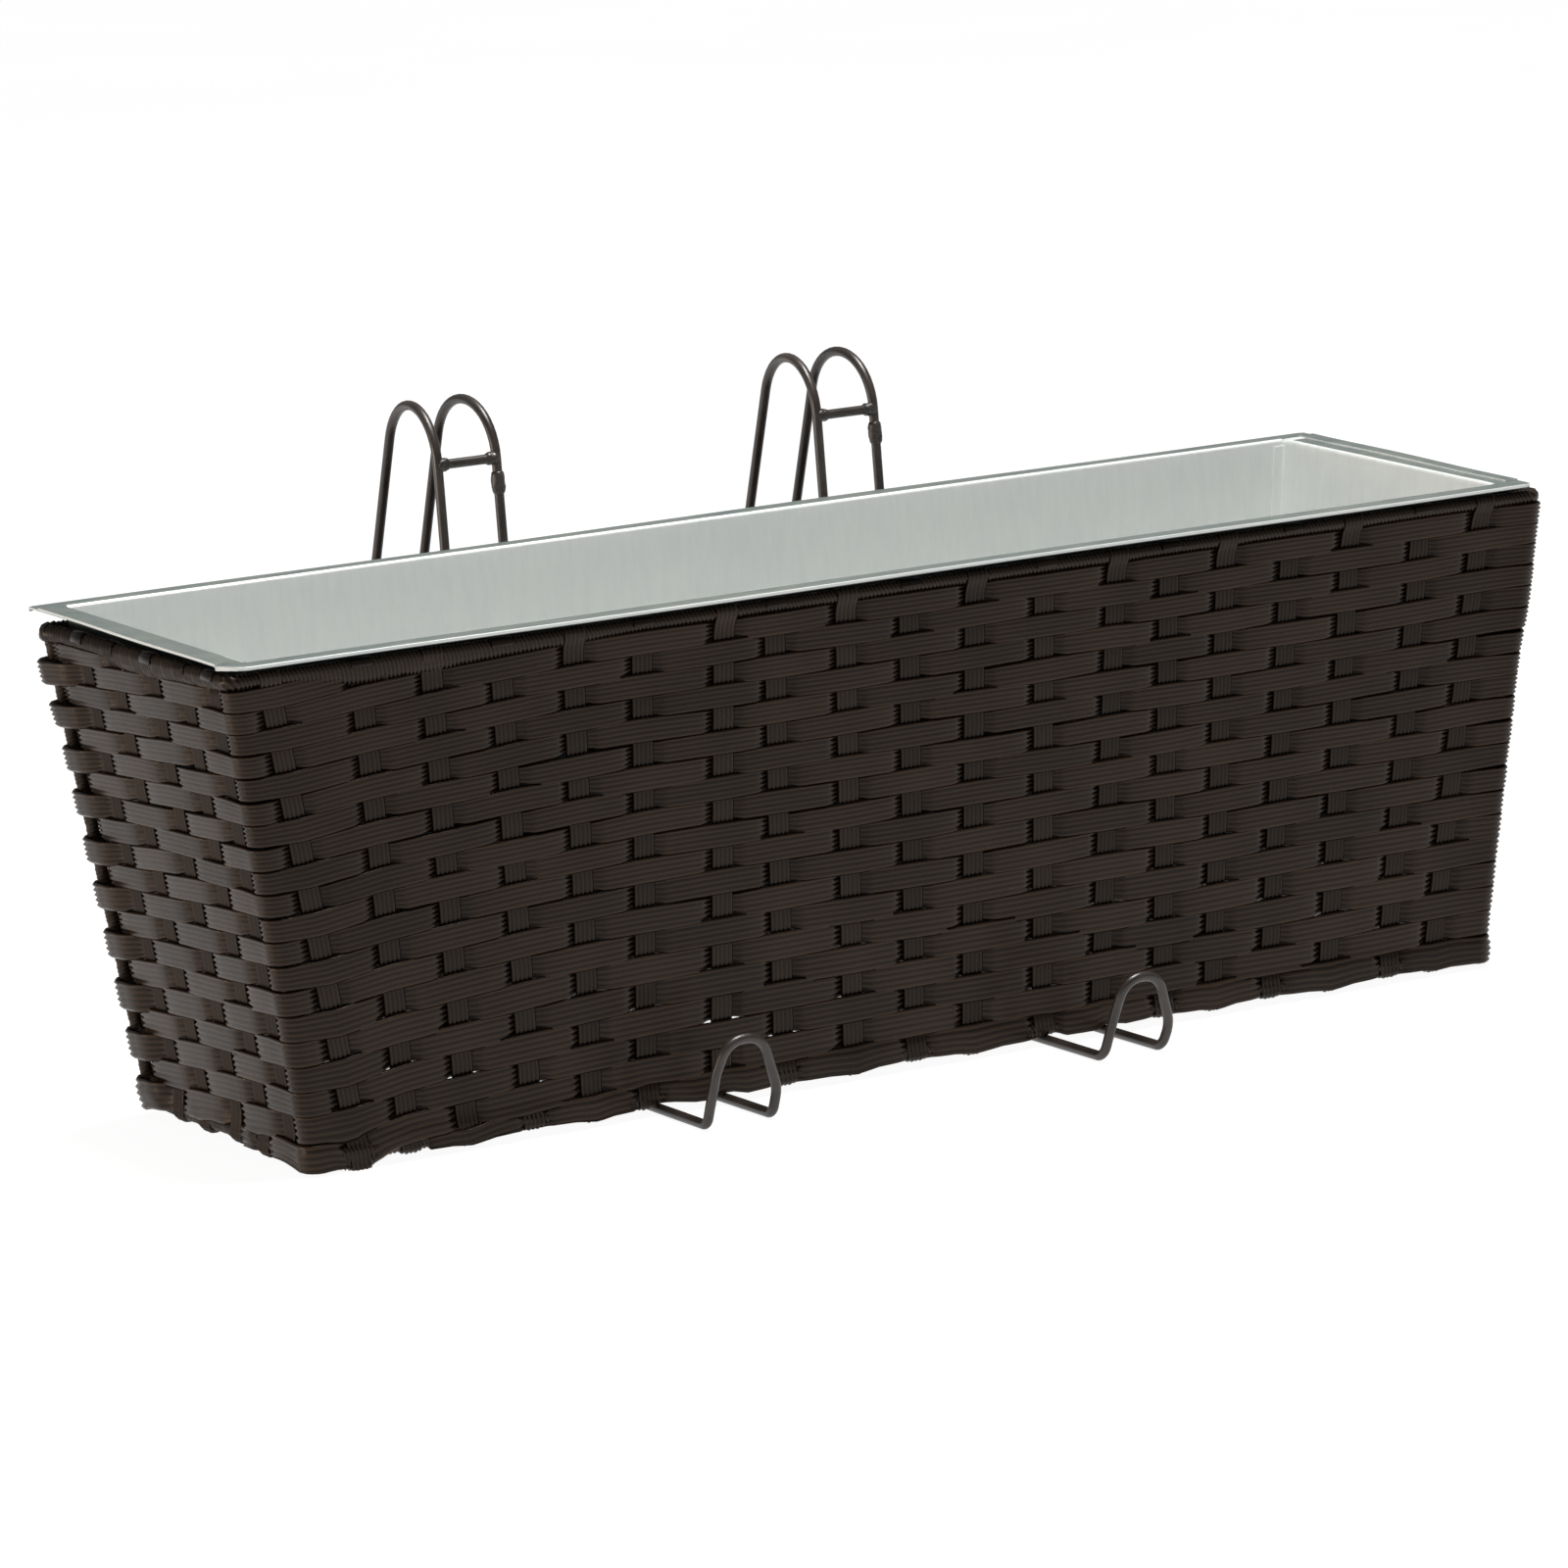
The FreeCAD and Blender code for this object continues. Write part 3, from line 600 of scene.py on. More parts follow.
# ------------------------------------------------------------ stakes
def stake_line(j):
    """The stake's path in its own upright plane: how far out, and how high."""
    outside = j % 2 == 0     # it shows in the top row
    line = []
    # inside the base, under the rail and up its outer side
    line += [(-2.6, 16.0), (-2.75, 10.0), (-2.8, 5.0)]
    for a in (200, 225, 250, 270, 290, 315, 340):
        line.append((2.8 * math.cos(math.radians(a)), RAIL_BOT_Z + 2.6 * math.sin(math.radians(a))))
    # up through the weave: pushed in by a strand in front, out by a strand behind
    level_at = np.linspace(20.0, 1.0, 58)
    f = climb(float(j))
    for q in level_at:
        z = float(level_z(q))
        if z < 5.0:
            continue
        # levels of the strands that cross here: a is (21 - climb) with whole turns of 2
        phase = (q - (21.0 - f)) % 2.0      # 0 at strand a, 1 at strand b
        front = math.cos(math.pi * phase) * (1.0 if j % 2 == 0 else -1.0)   # 1 where the strand is in front
        line.append((-0.24 * front + 2.15 * float(smooth((11.0 - z) / 7.0)), z))
    side = 1.0 if outside else -1.0
    last = line[-1]
    line.append((lerp(last[0], side * 2.7, 0.30), 185.2))
    line.append((side * 2.35, 187.4))
    angles = (10, 35, 60, 90, 120, 145, 170, 188) if outside else (170, 145, 120, 90, 60, 35, 10, -8)
    for a in angles:
        line.append((2.8 * math.cos(math.radians(a)), RAIL_TOP_Z + 2.74 * math.sin(math.radians(a))))
    if outside:
        line += [(-2.7, 184.0), (-2.4, 177.0)]
    return line


def stakes(name, indices, nodes):
    P, F, UV, T = [], [], [], []
    for j in indices:
        line = np.array(stake_line(j))
        d = np.gradient(line, axis=0)
        d /= np.linalg.norm(d, axis=1)[:, None]
        # the outward side of the path: turned from the run by a right angle
        nrm = np.stack([d[:, 1], -d[:, 0]], axis=1)
        width = 9.5 + rng.uniform(-0.25, 0.25)
        slide = rng.uniform(-0.4, 0.4)
        thick = (0.86 - 0.26 * smooth((line[:, 1] - 185.0) / 3.0))[:, None]
        out = line[:, 0][:, None] + nrm[:, 0][:, None] * PT[None, :] * thick
        z = line[:, 1][:, None] + nrm[:, 1][:, None] * PT[None, :] * thick
        zc = np.clip(line[:, 1], 0.0, HEIGHT)
        s = upright_s(j, zc)[:, None] + slide + PW[None, :] * width
        x, y, nx, ny = around(s, np.clip(z, 0.0, HEIGHT))
        lift = np.interp(j, LIFT_J, RIM_LIFT) * smooth((z - 188.0) / 4.0)
        # the loop under the bottom rail follows what the binding does there
        foot = base_drop(upright_s(j, np.full(1, 3.0)))[0]
        z = z + lift - foot * smooth((16.0 - z) / 15.0) * (1.0 - 0.4 * (2 * np.abs(PW[None, :])) ** 4)
        pts = np.stack([x + nx * out, y + ny * out, z], axis=-1)
        n = len(line)
        along = np.concatenate([[0.0], np.cumsum(np.linalg.norm(np.diff(line, axis=0), axis=1))])
        UV.append(np.stack([np.repeat(along[:, None], PM, 1) * 0.01 + j * 3.7,
                            np.repeat(PW[None, :] * 0.95 + 0.5, n, 0)], axis=-1).reshape(-1, 2))
        # painted shadow of the liner flange on the tops of the left end's stake loops; ridges lighter and grooves
        # darker as painted light and shade; the random part is each stake's own tone
        painted_flange_shadow = -0.35 * smooth((line[:, 1] - 184.0) / 3.0)[:, None] * float(j > 43)
        T.append((rng.uniform(-0.12, 0.12) + (RIDGE_LIGHT_GROOVE_SHADE[None, :] - 0.5) * 0.62 + 0.04 + painted_flange_shadow).ravel())
        F += tube_faces(n, PM, sum(len(p) for p in P))
        P.append(row(pts.reshape(-1, 3)))
    obj = build(name, np.concatenate(P), F, np.concatenate(UV), np.concatenate(T))
    ride(obj, "basket", STAKE_MAT, *nodes)
    return obj


stakes("stake_strands_front", range(0, 19), ["stakes_front"])
stakes("stake_strands_right", range(19, 24), ["stakes_right"])
stakes("stake_strands_back", range(25, 44), ["stakes_back"])
stakes("stake_strands_left", range(45, 50), ["stakes_left"])


# ------------------------------------------------------------ bindings
def wrap_radius(a, turns, r_out, depth, edge):
    """Radius of a wrapped strand: ridges of 1.6 mm with a deeper line at each strand edge."""
    ridge = 0.5 + 0.5 * np.cos(2 * math.pi * turns)
    line = smooth(1.0 - np.abs((turns / RIDGES) - np.round(turns / RIDGES)) * RIDGES / 0.6)
    return r_out - depth * (1.0 - ridge) - edge * line


def rail_wrap(name, z, nodes, slant, top):
    f0, f1, r0, r1, b0, b1, l0, l1, total = marks(z)
    count = int(round(total / 1.75 / RIDGES)) * RIDGES
    pitch = total / count
    s = np.arange(count * 4) * pitch / 4.0
    m = 12
    a = np.arange(m) * 2 * math.pi / m
    S, A = np.meshgrid(s, a, indexing="ij")
    turns = (S + slant * np.sin(A) + 0.5 * np.sin(S / 13.0)) / pitch
    R = wrap_radius(A, turns, 2.78, 0.42, 0.16)
    x, y, nx, ny = around(S, np.full(S.shape, z))
    out, up = R * np.cos(A) + 0.45 * corner_push(at_base(np.mod(S, total), z)), R * np.sin(A)
    if top:
        for k in ((r1 + b0) / 2, (b1 + l0) / 2):
            out = out + 2.6 * np.exp(-((S - k) / 7.0) ** 2)
    j = index_of(s, z)
    if top:
        low = np.interp(j, RIM_J, RIM_DROP)
        high = np.interp(j, LIFT_J, RIM_LIFT)
        up = np.where(up > 0, up * (1 + high[:, None] / 2.72), up * (1 + low[:, None] / 2.72))
    else:
        up = np.where(up > 0, up, up * (1 + np.maximum(0.0, base_drop(s) - 0.15)[:, None] / 2.72))
    pts = np.stack([x + nx * out, y + ny * out, z + up], axis=-1)
    uv = np.stack([A / (2 * math.pi) * 0.16, S * 0.1], axis=-1)
    # painted light and shade: each wrapped turn lighter on its ridge and darker in its groove; the slow sine is a real
    # drift of tone
    tone = 0.42 * np.cos(2 * math.pi * turns) + 0.08 * np.sin(S / 37.0)
    obj = build(name, row(pts.reshape(-1, 3)), tube_faces(len(s), m, closed=True), uv.reshape(-1, 2), tone.ravel())
    ride(obj, "basket", WRAP_MAT, *nodes)


rail_wrap("rim_wrap", RAIL_TOP_Z, ["rim_binding"], 1.3, True)
rail_wrap("base_wrap", RAIL_BOT_Z, ["base_binding"], 1.3, False)


def post_at(sx, sy, z):
    """Middle of a corner post: in the weave at the back, inside it at the front."""
    inset = 4.6 if sy < 0 else 0.15
    return np.array([sx * (half_x(z) - inset), sy * (half_y(z) - inset), z])


def post_wraps():
    P, F, UV, T = [], [], [], []
    for sx, sy in ((-1, -1), (1, -1), (1, 1), (-1, 1)):
        a, b = post_at(sx, sy, 5.0), post_at(sx, sy, 187.0)
        length = np.linalg.norm(b - a)
        axis = (b - a) / length
        u = np.cross(axis, [0, 0, 1.0]); u /= np.linalg.norm(u)
        v = np.cross(axis, u)
        d = np.arange(0, length, 0.8)
        m = 14
        ang = np.arange(m) * 2 * math.pi / m
        D, A = np.meshgrid(d, ang, indexing="ij")
        turns = (D + 3.2 * np.sin(A)) / 1.6
        R = wrap_radius(A, turns, 2.8, 0.26, 0.3)
        pts = a + D[..., None] * axis + R[..., None] * (np.cos(A)[..., None] * u + np.sin(A)[..., None] * v)
        F += tube_faces(len(d), m, sum(len(p) for p in P))
        P.append(row(pts.reshape(-1, 3)))
        UV.append(np.stack([A * 0.02, D * 0.1], axis=-1).reshape(-1, 2))
        # painted light and shade: ridges of the wrapping lighter, grooves darker
        T.append((0.30 * np.cos(2 * math.pi * turns) + 0.16).ravel())
    obj = build("post_wraps", np.concatenate(P), F, np.concatenate(UV), np.concatenate(T))
    ride(obj, "basket", WRAP_MAT, "corner_post_wraps")


post_wraps()

# ------------------------------------------------------------ liner
SHEET, FLANGE_L, FLANGE_W = 0.7, 592.4, 165.4
WALL_L_TOP, WALL_W_TOP, WALL_L_BOT, WALL_W_BOT = 568.4, 148.0, 524.0, 123.0
ZR, ZF, LIP_T, LIP_H, END_HEM_W, TAB_W = 192.45, 34.0, 1.5, 1.1, 6.0, 4.5
FL, FW, WT, WB, LT, LB = FLANGE_L / 2, FLANGE_W / 2, WALL_W_TOP / 2, WALL_W_BOT / 2, WALL_L_TOP / 2, WALL_L_BOT / 2
ZT = ZR + SHEET
TIP = math.radians(1.7)
LINER_DX = -3.2


def wall_x(z):
    return lerp(LB, LT, (z - ZF) / (ZR - ZF))


def wall_y(z):
    return lerp(WB, WT, (z - ZF) / (ZR - ZF))


def tipped(p):
    """The liner stands tipped about its front hem, its back a few millimetres high."""
    p = np.array(p, float)
    y, z = p[..., 1] + FW, p[..., 2] - ZR
    c, s = math.cos(TIP), math.sin(TIP)
    out = p.copy()
    back = np.clip((p[..., 1] + FW) / (2 * FW), 0.0, 1.0)
    out[..., 0] = p[..., 0] + LINER_DX - 3.4 * back * (1.0 - smooth((p[..., 0] - LT) / (FL - LT)))
    out[..., 1] = -FW + c * y - s * z + 0.5
    out[..., 2] = ZR + s * y + c * z + 2.0
    return row(out)


def fillet(points, closed=True, step=0.32):
    """Points (x, y, radius) or (x, y, z, radius) to a line with round corners."""
    p = [np.array(q[:-1], float) for q in points]
    r = [float(q[-1]) for q in points]
    n, out = len(p), []
    for i in range(n):
        if not closed and i in (0, n - 1):
            out.append(p[i])
            continue
        a, b, c = p[i - 1], p[i], p[(i + 1) % n]
        u, v = a - b, c - b
        lu, lv = np.linalg.norm(u), np.linalg.norm(v)
        u, v = u / lu, v / lv
        half = math.acos(float(np.clip(np.dot(u, v), -1, 1))) / 2.0
        if r[i] < 1e-6 or half > math.pi / 2 - 1e-3:
            out.append(b)
            continue
        t = r[i] / math.tan(half)
        bis = (u + v) / np.linalg.norm(u + v)
        centre = b + bis * r[i] / math.sin(half)
        s, e = b + u * t - centre, b + v * t - centre
        sweep = math.pi - 2 * half
        k = max(2, int(math.ceil(sweep / step)))
        for q in range(k + 1):
            w = q / k
            out.append(centre + (math.sin((1 - w) * sweep) * s + math.sin(w * sweep) * e) / math.sin(sweep))
    return np.array(out)


def divide(line, longest, closed=True):
    """Adds points so that no stretch of the line is longer than that."""
    out = []
    n = len(line)
    for i in range(n if closed else n - 1):
        a, b = line[i], line[(i + 1) % n]
        k = max(1, int(math.ceil(np.linalg.norm(b - a) / longest)))
        out += [lerp(a, b, q / k) for q in range(k)]
    if not closed:
        out.append(line[-1])
    return np.array(out)


class Lot:
    """Several closed bodies gathered into one mesh."""

    def __init__(self):
        self.points, self.faces, self.count = [], [], 0

    def add(self, sections, closed=False, place=tipped):
        sections = np.asarray(sections, float)
        n, m = sections.shape[:2]
        faces = tube_faces(n, m, self.count, closed)
        p = sections.reshape(-1, 3)
        c = p.mean(axis=0)
        q = np.array([f for f in faces if len(f) == 4]) - self.count
        t = p[q] - c
        vol = float(np.einsum("ij,ij->i", np.cross(t[:, 0], t[:, 1]), t[:, 2]).sum()
                    + np.einsum("ij,ij->i", np.cross(t[:, 0], t[:, 2]), t[:, 3]).sum())
        if vol < 0:
            faces = [f[::-1] for f in faces]
        self.points.append(place(p))
        self.faces += faces
        self.count += n * m

    def done(self, name, body, material, nodes, slot, angle=32.0, zinc=False):
        obj = build(name, np.concatenate(self.points), self.faces, turn=False)
        obj.data.set_sharp_from_angle(angle=math.radians(angle))
        ride(obj, body, material, *nodes)
        if zinc:
            for extra in (FLANGE_ZINC_SHADED, HEM_ZINC_LIT, OUTER_ZINC_SHADED, STRIP_ZINC_SHADED):
                obj.data.materials.append(extra)
            # faces pick copies of one zinc by direction, as painted light and shade: flange tops dark (painted shade),
            # the hem's side faces lighter (painted light), undersides and the walls' outer faces dark (painted shade),
            # the end flange's strip beside the hem darkest (painted shade)
            index = []
            for f in obj.data.polygons:
                c, n = np.array(f.center) * 1000.0 - SHIFT, f.normal
                level = c[2] - (c[1] + FW) * math.sin(TIP)
                shading_copy = 0
                if level > ZR - 2.2 and (abs(c[1]) > WT + 1.2 or abs(c[0] - LINER_DX) > LT + 1.0):
                    shading_copy = 1 if n.z > 0.8 else 2
                    if n.z < -0.3:
                        shading_copy = 3
                    if n.z > 0.8 and level < ZT + 0.35 and abs(c[0] - LINER_DX) > LT + 1.0 and abs(c[1]) < WT:
                        shading_copy = 4
                elif level < ZR - 1.0:
                    inward = -n.y * np.sign(c[1]) if abs(n.y) > 0.7 else (-n.x * np.sign(c[0]) if abs(n.x) > 0.7 else n.z)
                    shading_copy = 0 if inward > 0 else 3
                index.append(shading_copy)
            obj.data.polygons.foreach_set("material_index", index)
        return obj


def buckle(x, y, z):
    """The sheet isn't quite flat: how far a wall bows, in mm."""
    k = np.clip((z - ZF) / (ZR - ZF), 0, 1)
    inside = 4 * k * (1 - k)
    ends = 1 - np.clip(np.abs(x) / 284.0, 0, 1) ** 6
    return inside * ends * (0.55 * np.sin(x / 83.0 + 0.7) + 0.28 * np.sin(x / 31.0 + z / 40.0))


def sag(x):
    return 0.22 * np.sin(x / 61.0 + 0.4) * (1 - np.clip(np.abs(x) / 270.0, 0, 1) ** 4)


# trough: front wall, floor, back wall, flanges and closed hems from one sheet
outline = [(-FW, ZT, 0.66), (-FW, ZR - LIP_H, 0.7), (-FW + LIP_T, ZR - LIP_H, 0.7), (-FW + LIP_T, ZR, 0.12),
           (-WT, ZR, 0.9), (-WB, ZF, 1.7), (WB, ZF, 1.7), (WT, ZR, 0.9),
           (FW - LIP_T, ZR, 0.12), (FW - LIP_T, ZR - LIP_H, 0.7), (FW, ZR - LIP_H, 0.7), (FW, ZT, 0.66),
           (WT - SHEET, ZT, 1.6), (WB - SHEET, ZF + SHEET, 1.0), (-WB + SHEET, ZF + SHEET, 1.0), (-WT + SHEET, ZT, 1.6)]
loop = divide(fillet(outline), 11.0)
lot = Lot()
v = np.concatenate([[-1.0], np.linspace(-0.985, 0.985, 67), [1.0]])
ly, lz = loop[:, 0], loop[:, 1]
X = v[:, None] * (wall_x(np.minimum(lz, ZR)) - SHEET)[None, :]
side_sign = np.sign(ly)[None, :]
on_wall = (smooth((lz - ZF) / 12.0) * smooth((ZR - 1 - lz) / 12.0))[None, :]
Y = ly[None, :] + buckle(X, ly[None, :], lz[None, :]) * on_wall * side_sign
flange_part = smooth((np.abs(ly) - WT) / 3.0)[None, :]
Z = lz[None, :] + sag(X) * flange_part - 0.9 * np.exp(-((np.abs(ly)[None, :]) / 45.0) ** 2) * (lz < ZF + 2)[None, :] * (1 - np.abs(v[:, None]) ** 4)
lot.add(np.stack([X, Y, Z], axis=-1))
for sy in (-1, 1):
    ear = [(sy * FW, ZT, 0.66), (sy * FW, ZR - LIP_H, 0.7), (sy * (FW - LIP_T), ZR - LIP_H, 0.7),
           (sy * (FW - LIP_T), ZR, 0.12), (sy * (WT - SHEET + 0.02), ZR, 0.0), (sy * (WT - SHEET + 0.02), ZT, 0.0)]
    loop = fillet(ear)
    for sx in (-1, 1):
        xs = np.array([LT - SHEET, 286.0, 290.0, 294.0, FL - 0.25, FL]) * sx
        shrink = np.array([0, 0, 0, 0, 0, 0.2])
        mid = loop.mean(axis=0)
        cut = 9.6 if (sx < 0 and sy < 0) else 2.2
        xs = np.concatenate([xs[:1], np.linspace(xs[0], xs[-1], 12)[1:-1], xs[-2:]])
        sec = []
        for x in xs:
            f = 1.0 - (1.0 - 0.04) * float(smooth((abs(x) - (FL - cut)) / cut * 0.5)) * 2.0 if cut > 5 else 1.0 - 0.12 * max(0.0, (abs(x) - (FL - cut)) / cut)
            f = max(f, 0.06)
            sec.append([[x, sy * (WT - SHEET + 0.02) + (a - sy * (WT - SHEET + 0.02)) * f, b] for a, b in loop])
        sec = np.array(sec)
        lot.add(sec)
lot.done("liner_sheet_trough", "liner", WALL_ZINC, ["liner_trough"], "liner_zinc", zinc=True)


def end_sheet(sx, name, node_name):
    lot = Lot()
    # wall with the two tabs folded along the long walls
    z0 = ZF + SHEET + 3.0
    z1 = ZR - 2.0
    gap = 0.04
    for low, high, tabs in ((ZF, z0, False), (z0, z1, True)):
        zs = np.linspace(low, high, 3 if not tabs else 25)
        sec = []
        for z in zs:
            Yw, Xw = wall_y(z), wall_x(z)
            i1, i2, d1 = Yw - SHEET - gap, Yw - 2 * SHEET - gap, SHEET + TAB_W
            if tabs:
                lp = [(0, -Yw, 0), (0, Yw, 0), (SHEET, Yw, 0), (SHEET + 0.02, i1, 0), (d1, i1, 0.0), (d1, i2, 0.3), (SHEET, i2, 1.3),
                      (SHEET, -i2, 1.3), (d1, -i2, 0.3), (d1, -i1, 0.0), (SHEET + 0.02, -i1, 0), (SHEET, -Yw, 0)]
            else:
                lp = [(0, -Yw, 0), (0, Yw, 0), (SHEET, Yw, 0), (SHEET, -Yw, 0)]
            f = fillet(lp)
            if tabs:
                # a few points more across the wall, the same number at each height
                f = np.concatenate([f[:1], [lerp(f[0], f[1], q / 10) for q in range(1, 10)], f[1:]])
                k = int(np.argmax(np.linalg.norm(np.diff(f[11:], axis=0), axis=1))) + 11
                f = np.concatenate([f[:k + 1], [lerp(f[k], f[k + 1], q / 10) for q in range(1, 10)], f[k + 1:]])
            kz = np.clip((z - ZF) / (ZR - ZF), 0, 1)
            bow = 0.5 * 4 * kz * (1 - kz) * np.cos(np.clip(f[:, 1] / Yw, -1, 1) * math.pi / 2) ** 2
            sec.append(np.stack([sx * (Xw - f[:, 0] + bow * 0.8), f[:, 1], np.full(len(f), z)], axis=-1))
        lot.add(sec)
    # bend, flange and the hem folded back on it
    xp = wall_x(z1)
    prof = [(xp, z1, 0), (LT, ZR, 0.9), (FL, ZR, 0.66), (FL, ZT + SHEET, 0.66), (FL - END_HEM_W, ZT + SHEET, 0.25),
            (FL - END_HEM_W, ZT + 0.05, 0.1), (LT - SHEET, ZT, 1.6), (xp - SHEET, z1, 0)]
    loop = fillet(prof)
    ys = np.linspace(-(WT - SHEET), WT - SHEET, 31)
    sec = []
    for y in ys:
        k = 1 - abs(y / (WT - SHEET)) ** 4
        lift = 0.16 * k * math.sin(y / 19.0 + sx)
        out = smooth((loop[:, 0] - LT) / 4.0)
        sec.append(np.stack([sx * loop[:, 0], np.full(len(loop), y), loop[:, 1] + lift * out], axis=-1))
    lot.add(sec)
    return lot


left_end = end_sheet(-1, "liner_sheet_left", "liner_end_left")
left_end.done("liner_sheet_left", "liner", WALL_ZINC, ["liner_end_left"], "liner_zinc", zinc=True)
right_end = end_sheet(1, "liner_sheet_right", "liner_end_right")
right_end.done("liner_sheet_right", "liner", WALL_ZINC, ["liner_end_right"], "liner_zinc", zinc=True)


# ------------------------------------------------------------ brackets
def sweep(path, radius, m=16, closed=True, rough=None):
    """Round wire along a path, its sections carried along without twisting."""
    path = np.asarray(path, float)
    n = len(path)
    if closed:
        tan = np.roll(path, -1, axis=0) - np.roll(path, 1, axis=0)
    else:
        tan = np.gradient(path, axis=0)
    tan /= np.linalg.norm(tan, axis=1)[:, None]
    ref = np.array([1.0, 0, 0]) if abs(tan[0][0]) < 0.8 else np.array([0, 1.0, 0])
    u = ref - tan[0] * np.dot(ref, tan[0])
    u /= np.linalg.norm(u)
    us = [u]
    for i in range(1, n):
        u = us[-1] - tan[i] * np.dot(us[-1], tan[i])
        us.append(u / np.linalg.norm(u))
    us = np.array(us)
    vs = np.cross(tan, us)
    twist = 0.0
    if closed:
        last = us[-1] - tan[0] * np.dot(us[-1], tan[0])
        last /= np.linalg.norm(last)
        twist = math.atan2(float(np.dot(last, vs[0])), float(np.dot(last, us[0])))
    a = np.arange(m) * 2 * math.pi / m
    secs = []
    for i in range(n):
        ang = a - twist * i / n
        r = radius if rough is None else radius * rough[i][:, None]
        secs.append(path[i] + r * (np.cos(ang)[:, None] * us[i] + np.sin(ang)[:, None] * vs[i]))
    return np.array(secs)


RUN_Z, HOOK_TOP_Z, BAR_Z, FAR_END_Z = -2.35, 254.8, 233.0, 168.0
LEG_Y0, LEG_SLOPE, FAR_Y_TOP, FAR_SLOPE, HOOK_R, FAR_PINCH = 75.2, 0.0571, 127.9, 0.35, 22.9, 2.2


def leg_y(z):
    return LEG_Y0 + LEG_SLOPE * (z - RUN_Z)


def far_y(z):
    return FAR_Y_TOP + FAR_SLOPE * (HOOK_TOP_Z - z)


def bead(centre, axis, length, radius, low, seed):
    """A lumpy weld bead: thick in the middle, rippled, running out at both ends."""
    g = np.random.default_rng(seed)
    axis = np.asarray(axis, float) / np.linalg.norm(axis)
    t = np.linspace(-1, 1, 19)
    path = np.asarray(centre, float) + t[:, None] * axis * length / 2
    m = 20
    lump = np.interp(np.linspace(0, 1, 19), np.linspace(0, 1, 7), g.uniform(-0.10, 0.10, 7))
    phase = g.uniform(0, 6.28, 3)
    a = np.arange(m) * 2 * math.pi / m
    rough = []
    for i, q in enumerate(t):
        base = low + (radius - low) * math.sqrt(max(0.0, 1 - abs(q) ** 2.6))
        rough.append((base + lump[i] * (1 - q * q)) * (1 + 0.045 * (1 - q * q) * (np.sin(a * 3 + phase[0] + q * 3)
                     + 0.6 * np.sin(a * 5 + phase[1] - q * 7))) + 0.05 * (1 - q * q) * math.sin(q * 17 + phase[2]))
    return sweep(path, 1.0, m=m, closed=False, rough=np.array(rough))


def bracket(name, xs, front, seam_x, seed):
    xl, xr = xs
    flx, frx = xl + FAR_PINCH, xr - FAR_PINCH
    pts = list(front)
    pts += [(xr, LEG_Y0, RUN_Z, 5.0), (xr, leg_y(HOOK_TOP_Z), HOOK_TOP_Z, HOOK_R), (frx, FAR_Y_TOP, HOOK_TOP_Z, HOOK_R),
            (frx, far_y(FAR_END_Z), FAR_END_Z, 9.0), (flx, far_y(FAR_END_Z), FAR_END_Z, 9.0),
            (flx, FAR_Y_TOP, HOOK_TOP_Z, HOOK_R), (xl, leg_y(HOOK_TOP_Z), HOOK_TOP_Z, HOOK_R), (xl, LEG_Y0, RUN_Z, 5.0)]
    path = divide(fillet(pts, step=0.14), 9.0)
    lot = Lot()
    lot.add(sweep(path, 2.0, m=20), closed=True, place=row)
    lot.done(name + "_bent_wire", name, COAT, [name + "_wire"], "bracket_coat", 50.0)
    y = leg_y(BAR_Z)
    lot = Lot()
    lot.add(sweep(np.array([(x, y, BAR_Z) for x in np.linspace(xl + 0.9, xr - 0.9, 9)]), 1.98, m=20, closed=False), place=row)
    lot.done(name + "_bar", name, COAT, [name + "_crossbar"], "bracket_coat", 50.0)
    lot = Lot()
    for x, s, k in ((xl, 1, 0), (xr, -1, 1)):
        lot.add(bead((x + s * 2.2, y, BAR_Z), (1, 0, 0), 5.4, 2.75, 1.7, seed + k), place=row)
    z = BAR_Z - 9.9
    lot.add(bead((seam_x, leg_y(z), z), (0, LEG_SLOPE, 1), 9.4, 2.85, 1.9, seed + 5), place=row)
    lot.done(name + "_weld_beads", name, COAT, [name + "_welds"], "bracket_coat", 60.0)


LOOP_LEFT = [(-119.6, -106.0, RUN_Z, 3.4), (-116.6, -109.6, 18.0, 14.0), (-112.2, -112.2, 30.6, 9.5),
             (-97.0, -112.0, 30.4, 9.5), (-89.2, -108.2, 8.0, 16.0), (-90.6, -106.0, RUN_Z, 4.0)]
LOOP_RIGHT = [(57.4, -111.5, RUN_Z, 5.4), (61.4, -114.6, 15.0, 16.0), (65.0, -118.0, 29.3, 9.5),
              (80.6, -117.6, 28.4, 9.5), (87.4, -113.6, 7.0, 16.0), (84.9, -111.0, RUN_Z, 5.0)]
bracket("hook_left", (-117.5, -91.0), LOOP_LEFT, -91.0, 31)
bracket("hook_right", (58.5, 85.5), LOOP_RIGHT, 85.5, 57)

# frame rods inside the bindings
for rod, z in (("frame_top_rail", RAIL_TOP_Z), ("frame_bottom_rail", RAIL_BOT_Z)):
    hx, hy = half_x(z), half_y(z)
    ring = fillet([(-hx, -hy, z, CORNER_R), (hx, -hy, z, CORNER_R), (hx, hy, z, CORNER_R), (-hx, hy, z, CORNER_R)], step=0.2)
    lot = Lot()
    lot.add(sweep(divide(ring, 15.0), 2.0, m=14), closed=True, place=row)
    lot.done(rod + "_rod", "basket", FRAME_COAT, [rod], "frame_steel", 50.0)
lot = Lot()
for sx, sy in ((-1, -1), (1, -1), (1, 1), (-1, 1)):
    a, b = post_at(sx, sy, 4.6), post_at(sx, sy, 187.4)
    lot.add(sweep(np.array([lerp(a, b, q / 8) for q in range(9)]), 2.0, m=14, closed=False), place=row)
lot.done("frame_posts_rod", "basket", FRAME_COAT, ["frame_corner_posts"], "frame_steel", 50.0)
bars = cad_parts["frame_floor_bars"]
bars.data.materials.clear()
bars.data.materials.append(FRAME_COAT)

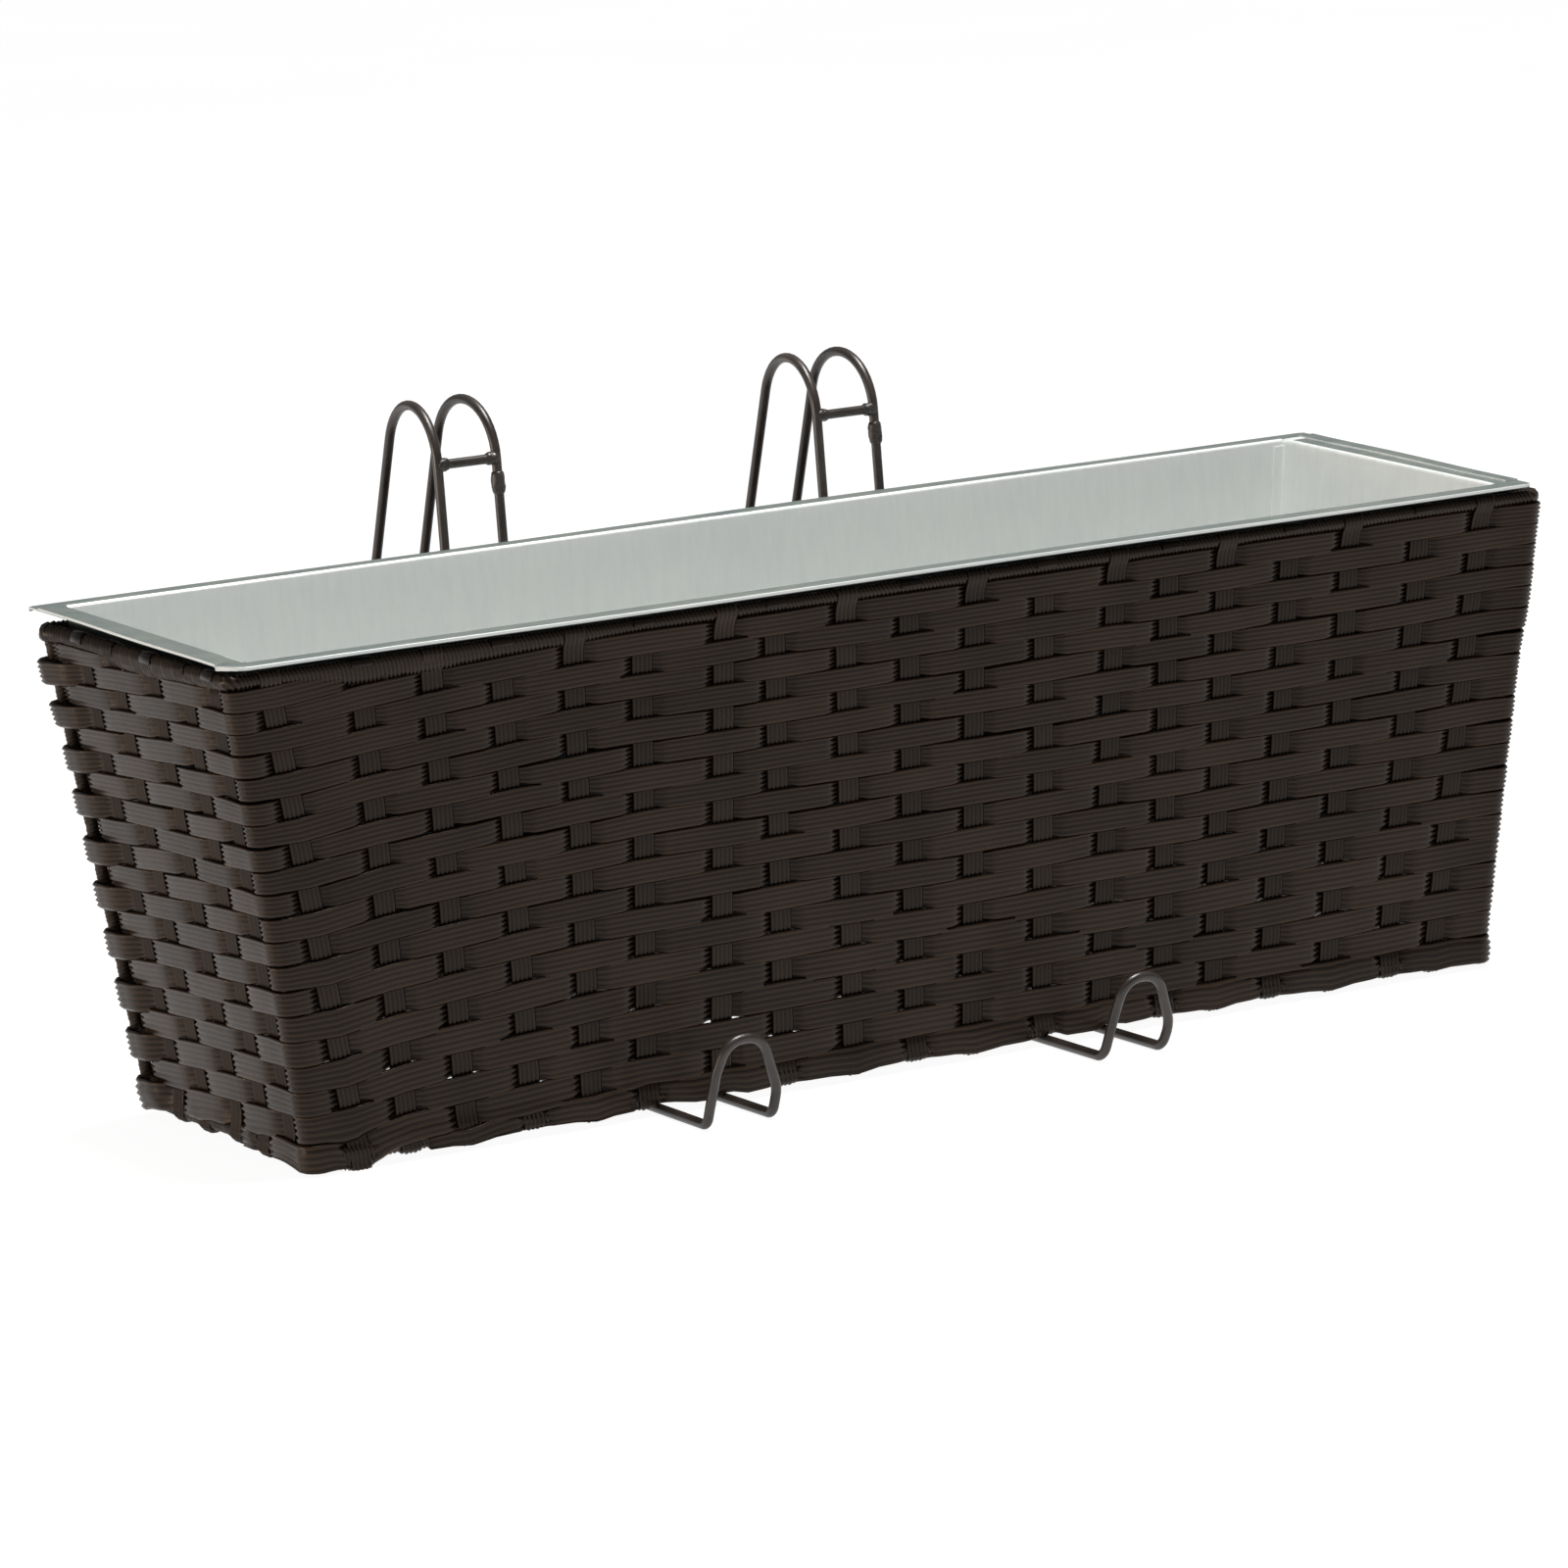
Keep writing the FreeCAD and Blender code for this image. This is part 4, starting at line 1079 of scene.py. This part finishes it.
# ------------------------------------------------------------ floor, light, camera
floor_mat, tree, shader = fresh("pale_floor")
coord = node(tree, "ShaderNodeTexCoord")
fleck = node(tree, "ShaderNodeTexNoise", Scale=3.0, Detail=2.0, Roughness=0.5)
tree.links.new(coord.outputs["Object"], fleck.inputs["Vector"])
pale = ramp(tree, [(0.3, (0.14, 0.14, 0.138, 1)), (0.7, (0.17, 0.17, 0.168, 1))])
tree.links.new(fleck.outputs["Fac"], pale.inputs["Fac"])
tree.links.new(pale.outputs["Color"], shader.inputs["Base Color"])
shader.inputs["Roughness"].default_value = 0.9
shader.inputs["Specular IOR Level"].default_value = 0.1
shader.inputs["Emission Color"].default_value = (1.0, 1.0, 1.0, 1.0)
shader.inputs["Emission Strength"].default_value = 0.94
mesh = bpy.data.meshes.new("studio_floor")
mesh.from_pydata([(-30, -30, 0), (30, -30, 0), (30, 30, 0), (-30, 30, 0)], [], [(0, 1, 2, 3)])
mesh.materials.append(floor_mat)
ground = bpy.data.objects.new("studio_floor", mesh)
bpy.context.scene.collection.objects.link(ground)
ground.location = (0.0, 0.0, -0.0003)

world = bpy.data.worlds.new("studio")
world.use_nodes = True
world.node_tree.nodes["Background"].inputs["Color"].default_value = (1.0, 0.995, 0.985, 1.0)
world.node_tree.nodes["Background"].inputs["Strength"].default_value = 0.25
bpy.context.scene.world = world


def soft_light(name, place, aim, size, power, colour=(1, 1, 1)):
    data = bpy.data.lights.new(name, "AREA")
    data.shape = "RECTANGLE"
    data.size, data.size_y = size
    data.energy = power
    data.color = colour
    lamp = bpy.data.objects.new(name, data)
    bpy.context.scene.collection.objects.link(lamp)
    lamp.location = place
    lamp.rotation_euler = (Vector(aim) - Vector(place)).to_track_quat("-Z", "Y").to_euler()


soft_light("overhead", (0.16, -0.10, 2.1), (0.0, 0.0, 0.1), (0.9, 0.7), 70.0, (1.0, 0.985, 0.96))
soft_light("left", (-2.3, 0.45, 0.24), (-0.3, 0.0, 0.12), (1.3, 0.32), 21.0, (1.0, 0.81, 0.65))

camera_data = bpy.data.cameras.new("photo_camera")
camera_data.sensor_width = 36.0
camera_data.lens = 178.767
camera_data.clip_end = 100.0
camera = bpy.data.objects.new("photo_camera", camera_data)
bpy.context.scene.collection.objects.link(camera)
right = Vector((0.86023359, -0.50753736, -0.04903053))
down = Vector((-0.13540158, -0.13466754, -0.98159618))
ahead = Vector((0.49159391, 0.85104082, -0.1845669))
turned = Matrix((right, -down, -ahead)).transposed().to_4x4()
camera.matrix_world = Matrix.Translation((-1.54064, -2.65803, 0.678446)) @ turned
bpy.context.scene.camera = camera
bpy.context.scene.view_settings.view_transform = "Standard"
